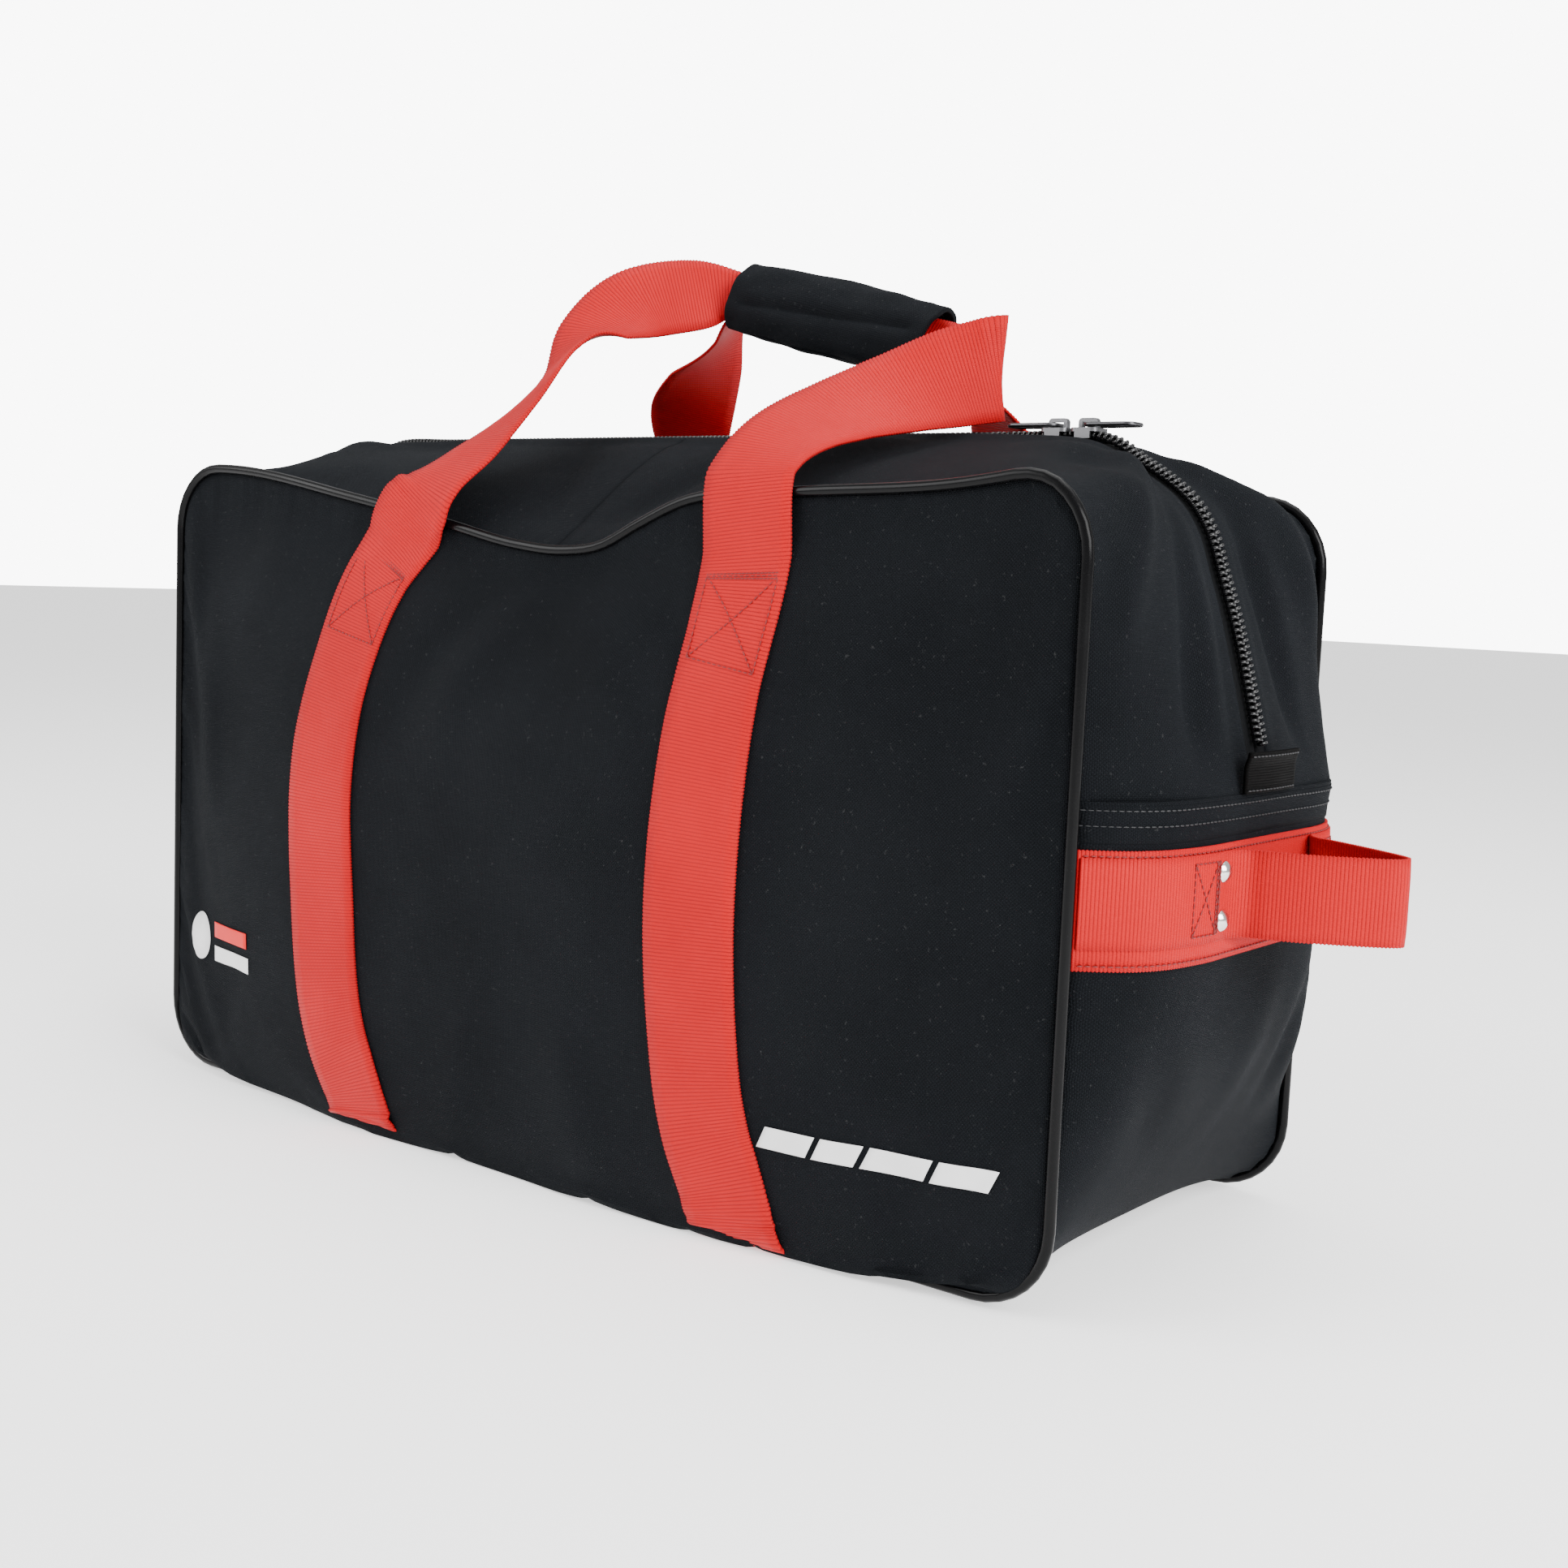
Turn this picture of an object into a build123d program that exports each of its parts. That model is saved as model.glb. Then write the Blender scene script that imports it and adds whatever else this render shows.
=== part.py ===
from build123d import *
import os
from math import sqrt

# Sports equipment bag: two crowned side panels, a lower gusset that is bottom and ends in one
# strip, a zipped top gusset in two halves, piped seams, webbing handles and end grab handles.
# X runs along the bag, Y from front to back, Z up. The origin is on the floor under the middle.

# Driving dimensions (mm)
length = 610.0            # side panel, outside its piping
height = 356.0            # floor to the top of the corner piping
depth = 305.0             # over the webbing on both crowned panels
corner_radius = 38.0      # side panel corners, outside the piping
piping_diameter = 5.0
seam_half = 116.0         # mid plane to the piping's centre
cloth = 3.0               # padded canvas wall
crown_flat = 51.9         # half height of the flat middle of a side panel's crown
end_crown = 29.0          # how far the end gusset stands out past its seams
end_flat = 62.0           # half width of the flat middle of the end gusset
seam_z = 220.0            # lap seam between lower and top gusset
ridge_rise = 18.0         # top gusset beside the zip, above the corner piping
ridge_shoulder = 8.0      # how much lower the top gusset is where the end flats start
web_width = 50.0
web_thickness = 1.8
strap_x = 130.0           # middle of each body strap
box_stitch_drop = 52.0    # from the corner piping down to the top of the sewn straps
strap_shift = 42.0        # the left front handle leaves the panel this far towards the middle
back_strap_shift = 18.0
right_strap_shift = 5.0
gap = 0.1                 # sewn layers
running_gap = 0.4         # pieces that move past each other
mouth_inset = 110.0       # from the end of the bag to the top that folds open
mouth_gap = 0.5
mouth_edge = 9.0          # zip opening edge of each top gusset half
tape_half = 8.4
tape_thickness = 1.2
tape_drop = 0.8
coil_height = 4.0
coil_width = 4.2
zip_gap = 0.8             # each coil half to the middle of the chain
chain_end_inset = 55.0    # from the end of the bag to where the chain starts down over it
tab_half = 25.0
tab_height = 19.0
tab_thickness = 1.6
binding_width = 12.0
binding_thickness = 1.4
board_thickness = 3.0
board_end_gap = 45.0
board_side_gap = 10.0
board_corner = 12.0
slider_length = 14.0
slider_plate = 1.8
slider_wall = 1.4
slider_inset = 87.0       # left slider, from the end of the bag
slider_pitch = 16.0
bridge_width = 3.0
bridge_height = 4.8
pull_wire = 2.0
pull_length = 24.0
pull_width = 12.0
base_web_drop = 70.0      # lower edge of the base webbing under the lap seam
loop_width = 38.0
loop_offset = 28.0        # middle of the grab loop above that edge
loop_middle_y = 8.0
loop_half = 36.0
loop_reach = 62.0
rivet_head = 9.5
rivet_head_height = 2.6
rivet_shank = 4.0
rivet_pitch = 21.0
burr_diameter = 10.0
burr_thickness = 1.0
grip_half = 66.8
grip_wide = 17.0
grip_thick = 12.0
grip_wall = 3.0
grip_split = 0.25
closure_thickness = 1.0
folded_web = 24.0
folded_thickness = 3.4

# Worked out from the driving dimensions
base_z = web_thickness + 0.2
piping_r = piping_diameter / 2
ridge_z = height + ridge_rise
box_stitch_top = height - box_stitch_drop
mouth_half = length / 2 - mouth_inset
chain_level_end = length / 2 - chain_end_inset
left_slider_x = length / 2 - slider_inset
base_web_low = seam_z - base_web_drop
loop_middle_z = base_web_low + loop_offset
outline_middle = (base_z + height) / 2
rim_inset = piping_diameter + gap
panel_low = base_z + rim_inset
panel_high = height - rim_inset
rim_y = seam_half - piping_r
crown_y = depth / 2 - web_thickness - gap
gusset_half = rim_y - binding_thickness - running_gap
gusset_x = length / 2 - 2.0
gusset_top = height - 3.0
crown_reach = (panel_high - panel_low) / 2 - crown_flat
crown_curve = [(0.0, 0.0), (0.2333, 0.42), (0.5833, 0.77), (1.0, 1.0)]
crown_steps = [(share * crown_reach, rise) for share, rise in crown_curve]
crown_start = rim_y + 2.0
crown_rise = crown_y - crown_start
strap_top = panel_high
tail_y = seam_half + piping_r + 1.5
pivot_y = tail_y + web_thickness * 1.5 + running_gap
pivot_z = strap_top + web_thickness / 2 + running_gap
web_face_x = gusset_x + end_crown + gap
loop_face_x = web_face_x + web_thickness + gap
loop_start_x = loop_face_x + web_thickness + running_gap
loop_hinge_x = loop_start_x + loop_width / 2
coil_top = ridge_z - tape_drop + coil_height


def section(plane_y, sketch):
    """A sketch drawn in X and Z, placed at this Y."""
    return Plane.XZ.offset(-plane_y) * sketch


def offset_line(points, distance):
    """The open line moved sideways, to the left of its run, with mitred corners."""
    normals = []
    for (ax, ay), (bx, by) in zip(points, points[1:]):
        run = sqrt((bx - ax) ** 2 + (by - ay) ** 2)
        normals.append(((ay - by) / run, (bx - ax) / run))
    moved = []
    for index, (px, py) in enumerate(points):
        before = normals[max(index - 1, 0)]
        after = normals[min(index, len(normals) - 1)]
        sx, sy = before[0] + after[0], before[1] + after[1]
        scale = 2 * distance / (sx * sx + sy * sy)
        moved.append((px + sx * scale, py + sy * scale))
    return moved


def strip(points, near, far):
    """The flat band between two offsets of an open line."""
    outline = offset_line(points, near) + offset_line(points, far)[::-1]
    return make_face(Polyline(*outline, close=True))


def across_x(points, near, far, low, high):
    """A band drawn in Y and Z, run from low to high along X."""
    return extrude(Plane.YZ.offset(low) * strip(points, near, far), high - low)


def along_y(points, near, far, low, high):
    """A band drawn in X and Z, run from low to high along Y."""
    return extrude(section(high, strip(points, near, far)), high - low)


def ribbon(stations, thickness):
    """Webbing through (centre, direction across, width) stations."""
    faces = []
    for index, (centre, across, width) in enumerate(stations):
        ahead = Vector(*stations[min(index + 1, len(stations) - 1)][0])
        behind = Vector(*stations[max(index - 1, 0)][0])
        side = Vector(*across).normalized()
        run = ahead - behind
        run = (run - side * run.dot(side)).normalized()
        plane = Plane(origin=centre, x_dir=side, z_dir=run)
        faces.append(plane * Rectangle(width, thickness))
    return loft(faces, ruled=True)


def other_side(solid):
    """Front piece to back piece."""
    return mirror(solid, about=Plane.XZ)


def other_end(solid):
    """Right-hand piece to left-hand piece."""
    return mirror(solid, about=Plane.YZ)


# Side panels: a rounded rectangle of canvas that crowns outwards
def rounded_outline(inset):
    outline = RectangleRounded(
        length - 2 * rim_inset - 2 * inset,
        panel_high - panel_low - 2 * inset,
        corner_radius - rim_inset,
    )
    return Pos(0, outline_middle) * outline


def front_panel():
    outer = [section(-rim_y, rounded_outline(0))]
    inner = [section(-rim_y + 1, rounded_outline(2 * cloth))]
    inner.append(section(-crown_start, rounded_outline(2 * cloth)))
    for inset, share in crown_steps:
        face_y = crown_start + share * crown_rise
        outer.append(section(-face_y, rounded_outline(inset)))
        if inset > 2 * cloth:
            inner.append(section(-face_y + cloth, rounded_outline(inset)))
    return loft(outer, ruled=True) - loft(inner, ruled=True)


def front_piping():
    path = RectangleRounded(length - piping_diameter, height - base_z - piping_diameter,
                            corner_radius - piping_r).wire()
    path = Plane.XZ.offset(seam_half) * Pos(0, outline_middle) * path
    start = Plane(path @ 0, z_dir=path % 0)
    return sweep(start * Circle(piping_r), path=path)


def front_binding():
    ring = rounded_outline(0) - rounded_outline(binding_width)
    return extrude(section(-rim_y, ring), -binding_thickness)


# Gusset lines in X and Z, drawn from the lap seam at the right end
def end_line(bulge):
    """Lower gusset from the right lap seam down to the flat bottom."""
    out = gusset_x + bulge
    return [
        (out, seam_z),
        (out, seam_z - 80),
        (gusset_x + 0.6 * bulge, seam_z - 130),
        (gusset_x, base_z + corner_radius),
        (gusset_x - 0.28 * corner_radius, base_z + 0.28 * corner_radius),
        (gusset_x - corner_radius, base_z),
    ]


def gusset_line(bulge):
    right = end_line(bulge)
    left = [(-x, z) for x, z in reversed(right)]
    return right + left


def top_line(y):
    """Top gusset from the right lap seam up and over to the mouth's end, at this Y."""
    out = gusset_x + end_crown
    middle = mouth_half + mouth_gap
    shoulder_z = ridge_z - ridge_shoulder
    seam = [(gusset_x, seam_z), (gusset_x, seam_z + 20), (gusset_x, gusset_top - corner_radius)]
    seam += [(gusset_x - 10, gusset_top - 10), (gusset_x - corner_radius, gusset_top), (middle, gusset_top)]
    flat = [(out, seam_z), (out, seam_z + 20), (out - 17, height - 52)]
    flat += [(out - 38, height - 18), (chain_level_end + 12, shoulder_z - 4), (middle, shoulder_z)]
    edge = [(out, seam_z), (out, seam_z + 20), (out - 26, height - 46)]
    edge += [(out - 54, height - 6), (chain_level_end, ridge_z), (middle, ridge_z)]
    return {gusset_half: seam, end_flat: flat, mouth_edge: edge}[y]


def lower_gusset():
    stations = [(-gusset_half, 0.0), (-end_flat, end_crown), (end_flat, end_crown), (gusset_half, 0.0)]
    wall = loft([section(y, strip(gusset_line(bulge), 0, -cloth)) for y, bulge in stations], ruled=True)
    for hole in rivet_holes(cloth):
        wall -= hole
        wall -= other_end(hole)
    return wall


def front_top_right_end():
    faces = []
    for y in (gusset_half, end_flat, mouth_edge):
        faces.append(section(-y, strip(top_line(y), 0, cloth)))
    return loft(faces, ruled=True)


def mouth_line():
    """Top gusset half in Y and Z, from its seam to the zip."""
    return [(-gusset_half, gusset_top), (-end_flat, ridge_z - ridge_shoulder), (-mouth_edge, ridge_z)]


def front_top_gusset():
    return across_x(mouth_line(), 0, -cloth, -mouth_half, mouth_half)


def base_board():
    floor = base_z + cloth + gap
    outline = RectangleRounded(length - 2 * board_end_gap, 2 * (seam_half - board_side_gap), board_corner)
    return extrude(Pos(0, 0, floor) * outline, board_thickness)


# Zip: tape and coil halves, straight over the mouth and bent down over each end
def front_zip_tape():
    low = ridge_z - tape_drop - tape_thickness
    half = Box(2 * mouth_half, tape_half - zip_gap, tape_thickness,
               align=(Align.CENTER, Align.MIN, Align.MIN))
    return Pos(0, -tape_half, low) * half


def front_zip_coil():
    low = ridge_z - tape_drop
    inner = -zip_gap
    outer = -zip_gap - coil_width
    shape = Polyline((outer, low), (outer, low + 2.4), (outer + 1.4, low + coil_height),
                     (inner - 1, low + coil_height), (inner, low + 2.4), (inner, low), close=True)
    return extrude(Plane.YZ.offset(-mouth_half) * make_face(shape), 2 * mouth_half)


def zip_end_pieces(near, far, inner, outer, low_z):
    line = top_line(mouth_edge)
    line[0] = (line[0][0], low_z)
    front = along_y(line, near, far, -outer, -inner)
    return front, other_side(front)


def zip_tape_end():
    front, back = zip_end_pieces(tape_drop, tape_drop + tape_thickness, zip_gap, tape_half, seam_z)
    return [front, back]


def zip_coil_end():
    top = seam_z + tab_height + 0.4
    front, back = zip_end_pieces(tape_drop - coil_height, tape_drop, zip_gap, zip_gap + coil_width, top)
    return [front, back]


def zip_tab():
    plate = Box(tab_thickness, 2 * tab_half, tab_height - 1, align=(Align.MIN, Align.CENTER, Align.MIN))
    return Pos(gusset_x + end_crown + gap, 0, seam_z + 0.5) * plate


# Slider with its bridge, and the wire loop that hangs on it
def zip_slider(x):
    plate_low = coil_top + 0.5
    half = zip_gap + coil_width + running_gap
    plate = Pos(0, 0, plate_low) * Box(slider_length, 2 * (half + slider_wall), slider_plate,
                                       align=(Align.CENTER, Align.CENTER, Align.MIN))
    plate = fillet(plate.edges().filter_by(Axis.Z), 3)
    flange_low = ridge_z + 0.6
    flange = Box(slider_length - 6, slider_wall, plate_low - flange_low + 0.2,
                 align=(Align.CENTER, Align.MIN, Align.MIN))
    flange = Pos(0, half, flange_low) * flange
    bridge_low = plate_low + slider_plate
    bridge = Pos(0, 0, bridge_low) * Box(10, bridge_width, bridge_height,
                                         align=(Align.CENTER, Align.CENTER, Align.MIN))
    bridge = fillet(bridge.edges().filter_by(Axis.Y).group_by(Axis.Z)[-1], 2)
    eye = Pos(0, 0, bridge_low) * Box(6, bridge_width + 1, pull_wire + 1.0,
                                      align=(Align.CENTER, Align.CENTER, Align.MIN))
    body = plate + flange + other_side(flange) + (bridge - eye)
    return Pos(x, 0, 0) * body


def pull_axis_z():
    return coil_top + 0.5 + slider_plate + 0.5 + pull_wire / 2


def zip_pull(x, away):
    """Closed wire loop lying along the chain, away from the other slider."""
    loop = RectangleRounded(pull_length + pull_wire / 2, pull_width, 3.5).wire()
    loop = Pos(x + away * (pull_length / 2 + pull_wire / 4), 0, pull_axis_z()) * loop
    start = Plane(loop @ 0, z_dir=loop % 0)
    return sweep(start * Circle(pull_wire / 2), path=loop)


# Body straps: sewn up both panels and across under the bottom
def panel_face(z):
    """Y of the front panel's outer face at this height, in the middle of its length."""
    inset = min(z - panel_low, panel_high - z)
    steps = [(step, crown_start + share * crown_rise) for step, share in crown_steps]
    for (low, near), (high, far) in zip(steps, steps[1:]):
        if inset <= high:
            return near + (far - near) * (inset - low) / (high - low)
    return crown_y


def strap_line():
    """Inner face of a strap in Y and Z, from the front stitch box round to the back one."""
    foot = seam_half + piping_r + 0.9
    half = [(-panel_face(box_stitch_top) - gap, box_stitch_top)]
    for inset, share in reversed(crown_steps[1:]):
        if panel_high - inset < box_stitch_top:
            half.insert(1, (-crown_start - share * crown_rise - gap, panel_high - inset))
    for inset, share in reversed(crown_steps[1:]):
        half.append((-crown_start - share * crown_rise - gap, panel_low + inset))
    half.append((-foot, base_z + 5.0))
    half.append((-foot, base_z + 2.0))
    half.append((-foot + 2.6, web_thickness))
    return half + [(-y, z) for y, z in reversed(half)]


def body_strap(x, front_tail, back_tail):
    low, high = x - web_width / 2, x + web_width / 2
    sewn = across_x(strap_line(), 0, -web_thickness, low, high)
    bend_z = panel_high - crown_steps[1][0]
    share = (bend_z - box_stitch_top) / (strap_top - box_stitch_top)
    start_y = panel_face(box_stitch_top) + gap + web_thickness / 2 + 0.6
    bend_y = panel_face(bend_z) + gap + web_thickness / 2 + 0.5
    end_y = tail_y + web_thickness / 2
    for side, tail_x in ((-1, front_tail), (1, back_tail)):
        bend_x = x + share * (tail_x - x)
        foot = Pos(x, side * start_y, box_stitch_top - 1) * Rectangle(web_width, web_thickness)
        bend = Pos(bend_x, side * bend_y, bend_z) * Rectangle(web_width, web_thickness)
        head = Pos(tail_x, side * end_y, strap_top) * Rectangle(web_width, web_thickness)
        sewn += loft([foot, bend, head], ruled=True)
    return sewn


# Carrying handles: free webbing from the body straps to the shared grip, whose ends hang unevenly
grip_y = 60.0
grip_left = (-25.0, grip_y, height + 105)
grip_right = (105.0, grip_y, height + 74)
front_left_x = strap_shift - strap_x
back_left_x = back_strap_shift - strap_x
right_x = strap_x - right_strap_shift


def grip_plane():
    """X across the flat of the grip, Y away from its split towards the front, Z along it."""
    middle = (Vector(*grip_left) + Vector(*grip_right)) / 2
    along = (Vector(*grip_right) - Vector(*grip_left)).normalized()
    outward = Vector(0, -0.866, 0.5)
    outward = (outward - along * outward.dot(along)).normalized()
    return Plane(origin=middle, x_dir=outward.cross(along), z_dir=along)


def grip_point(along, outward):
    plane = grip_plane()
    point = plane.origin + plane.z_dir * along + plane.y_dir * outward
    return (point.X, point.Y, point.Z)


def handle_web(side, left_path, right_path):
    """One handle: left leg, folded length inside the grip, right leg."""
    plane = grip_plane()
    flat = (plane.x_dir.X, plane.x_dir.Y, plane.x_dir.Z)
    inside = side * (grip_split + 0.2 + folded_thickness / 2)
    stations = list(left_path)
    stations.append((grip_point(-grip_half - 2, inside), flat, folded_web))
    stations.append((grip_point(grip_half + 2, inside), flat, folded_web))
    legs = stations[:len(left_path) + 1]
    web = ribbon(legs, web_thickness)
    web += ribbon([stations[len(left_path) + 1]] + list(right_path), web_thickness)
    core = plane * Pos(0, inside, -grip_half - 2.5) * Rectangle(folded_web, folded_thickness)
    return web + extrude(core, 2 * grip_half + 5)


def front_handle_web():
    side_on = (1.0, 0.0, 0.0)
    left = [
        ((front_left_x, -pivot_y, pivot_z), side_on, web_width),
        ((front_left_x + 1, 11 - pivot_y, pivot_z + 10), side_on, web_width),
        ((front_left_x + 2, 45 - pivot_y, height + 31), (1.0, -0.15, 0.1), web_width),
        ((front_left_x - 2, grip_y - 92, height + 60), (0.9, -0.35, -0.2), web_width - 4),
        ((front_left_x, grip_y - 58, height + 88), (0.75, -0.4, -0.5), web_width - 8),
        ((-68.0, grip_y - 30, height + 114), (0.55, 0.1, -0.8), web_width - 14),
        ((-46.0, grip_y - 13, height + 118), (0.3, 0.35, -0.85), web_width - 20),
    ]
    right = [
        ((124.0, grip_y - 9, height + 75), (-0.3, -0.35, -0.85), web_width - 20),
        ((152.0, grip_y - 24, height + 64), (-0.3, -0.1, -0.95), web_width - 12),
        ((180.0, grip_y - 46, height + 56), (-0.2, 0.1, -0.97), web_width - 6),
        ((188.0, grip_y - 58, height + 52), (-0.1, 0.2, -0.97), web_width - 4),
        ((182.0, grip_y - 70, height + 48), (-0.1, 0.4, -0.9), web_width - 4),
        ((156.0, grip_y - 96, height + 38), (-0.6, 0.4, -0.7), web_width - 2),
        ((right_x + 7, 47 - pivot_y, height + 26), (-0.95, 0.2, -0.25), web_width),
        ((right_x, 11 - pivot_y, pivot_z + 10), (-1.0, 0.0, 0.0), web_width),
        ((right_x, -pivot_y, pivot_z), (-1.0, 0.0, 0.0), web_width),
    ]
    return handle_web(1, left, right)


def back_handle_web():
    left = [
        ((back_left_x, pivot_y, pivot_z), (1.0, 0.0, 0.0), web_width),
        ((back_left_x + 3, pivot_y - 10, height + 14), (1.0, 0.0, 0.1), web_width),
        ((back_left_x + 20, pivot_y - 25, height + 40), (0.95, 0.1, 0.3), web_width - 4),
        ((-68.0, grip_y + 22, height + 68), (0.8, 0.2, 0.55), web_width - 12),
        ((-42.0, grip_y + 8, height + 93), (0.4, 0.4, 0.8), web_width - 20),
    ]
    right = [
        ((115.0, grip_y + 8, height + 66), (-0.2, 0.4, 0.85), web_width - 20),
        ((122.0, grip_y + 24, height + 48), (-0.7, 0.3, 0.6), web_width - 12),
        ((right_x - 1, pivot_y - 23, height + 28), (-0.95, 0.1, 0.2), web_width - 4),
        ((right_x, pivot_y - 10, height + 14), (-1.0, 0.0, 0.0), web_width),
        ((right_x, pivot_y, pivot_z), (-1.0, 0.0, 0.0), web_width),
    ]
    return handle_web(-1, left, right)


def grip_parts(side):
    """One padded leaf of the grip wrap and its closure strip along the lower edge."""
    ring = Ellipse(grip_wide, grip_thick) - Ellipse(grip_wide - grip_wall, grip_thick - grip_wall)
    reach = grip_wide + 1
    upper = Pos(0, side * (reach / 2 + grip_split)) * Rectangle(2 * reach, reach)
    lower_edge = Pos(-reach / 2, side * (grip_split + closure_thickness / 2)) * Rectangle(
        reach, closure_thickness)
    leaf = (ring & upper) - lower_edge
    closure = ring & lower_edge
    plane = grip_plane().offset(-grip_half)
    return extrude(plane * leaf, 2 * grip_half), extrude(plane * closure, 2 * grip_half)


# End grab handles
def end_plan(x_out):
    """Outer face of the end gusset in X and Y at grab handle height, moved out a little."""
    reach = gusset_half - 1.0
    step = end_crown * (gusset_half - reach) / (gusset_half - end_flat)
    points = [(gusset_x + step, -reach), (gusset_x + end_crown, -end_flat)]
    points += [(gusset_x + end_crown, end_flat), (gusset_x + step, reach)]
    return offset_line(points, -x_out)


def rivet_spots():
    near = loop_middle_y - loop_half - 14
    far = min(loop_middle_y + loop_half + 12, end_flat - 4)
    return [(y, loop_middle_z + dz) for y in (near, far) for dz in (-rivet_pitch / 2, rivet_pitch / 2)]


def rivet_holes(inside):
    start = gusset_x + end_crown - inside - 1
    holes = []
    for y, z in rivet_spots():
        cutter = Pos(start, y, z) * Rot(0, 90, 0) * Cylinder(
            rivet_shank / 2, inside + 8, align=(Align.CENTER, Align.CENTER, Align.MIN))
        holes.append(cutter)
    return holes


def base_web():
    outline = end_plan(gap) + end_plan(gap + web_thickness)[::-1]
    web = extrude(Pos(0, 0, base_web_low) * make_face(Polyline(*outline, close=True)), web_width)
    for hole in rivet_holes(cloth):
        web -= hole
    return web


def cut_plan(points, low_y, high_y):
    """The stretch of a line in X and Y between two values of Y."""
    kept = []
    for (ax, ay), (bx, by) in zip(points, points[1:]):
        for y in (low_y, high_y):
            if ay < y < by:
                kept.append((ax + (bx - ax) * (y - ay) / (by - ay), y))
        if low_y < by < high_y:
            kept.append((bx, by))
    return sorted(kept, key=lambda point: point[1])


def grab_feet():
    near = end_plan(2 * gap + web_thickness)
    far = end_plan(2 * gap + 2 * web_thickness)
    feet = []
    spans = ((-gusset_half + 2, loop_middle_y - loop_half), (loop_middle_y + loop_half, gusset_half - 2))
    for low, high in spans:
        outline = cut_plan(near, low, high) + cut_plan(far, low, high)[::-1]
        face = make_face(Polyline(*outline, close=True))
        foot = extrude(Pos(0, 0, loop_middle_z - loop_width / 2) * face, loop_width)
        for hole in rivet_holes(cloth):
            foot -= hole
        feet.append(foot)
    return feet


def grab_loop():
    """Free loop of webbing, with round inner ends so that it can swing up and down."""
    tip = loop_start_x + loop_reach
    plan = [
        (loop_start_x, -loop_half),
        (loop_start_x + 0.45 * loop_reach, -0.86 * loop_half),
        (tip - 7, -0.3 * loop_half),
        (tip, 0.0),
        (tip - 7, 0.3 * loop_half),
        (loop_start_x + 0.45 * loop_reach, 0.86 * loop_half),
        (loop_start_x, loop_half),
    ]
    plan = [(x, y + loop_middle_y) for x, y in plan]
    band = extrude(Pos(0, 0, loop_middle_z - loop_width / 2) * strip(plan, 0, web_thickness), loop_width)
    keep = Pos(loop_hinge_x, 0) * Circle(loop_width / 2)
    keep += Pos(loop_hinge_x, 0) * Rectangle(loop_reach, loop_width, align=(Align.MIN, Align.CENTER))
    prism = extrude(section(loop_middle_y + loop_half + 10, Pos(0, loop_middle_z) * keep),
                    2 * loop_half + 20)
    return band & prism


def rivets():
    face = gusset_x + end_crown + 2 * (gap + web_thickness) + gap
    inside = gusset_x + end_crown - cloth - burr_thickness - gap
    bodies = []
    for y, z in rivet_spots():
        at = Pos(face, y, z) * Rot(0, 90, 0)
        radius = (rivet_head ** 2 / 4 + rivet_head_height ** 2) / (2 * rivet_head_height)
        ball = Pos(0, 0, rivet_head_height - radius) * Sphere(radius)
        above = Pos(0, 0, 0) * Cylinder(rivet_head, rivet_head_height + 1,
                                        align=(Align.CENTER, Align.CENTER, Align.MIN))
        shank = Pos(0, 0, inside - face) * Cylinder(rivet_shank / 2 - 0.05, face - inside + 0.5,
                                                    align=(Align.CENTER, Align.CENTER, Align.MIN))
        bodies.append(at * ((ball & above) + shank))
    return bodies


def burrs():
    outer = gusset_x + end_crown - cloth - gap
    rings = []
    for y, z in rivet_spots():
        ring = Cylinder(burr_diameter / 2, burr_thickness, align=(Align.CENTER, Align.CENTER, Align.MAX))
        ring -= Cylinder(rivet_shank / 2, burr_thickness * 3)
        rings.append(Pos(outer, y, z) * Rot(0, 90, 0) * ring)
    return rings


def write(name, shape):
    """One STEP file for each named piece or group of like pieces."""
    if isinstance(shape, list):
        shape = Compound(children=[piece.solid() for piece in shape])
    elif len(shape.solids()) == 1:
        shape = shape.solid()
    export_step(shape, "parts/" + name + ".step")


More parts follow.
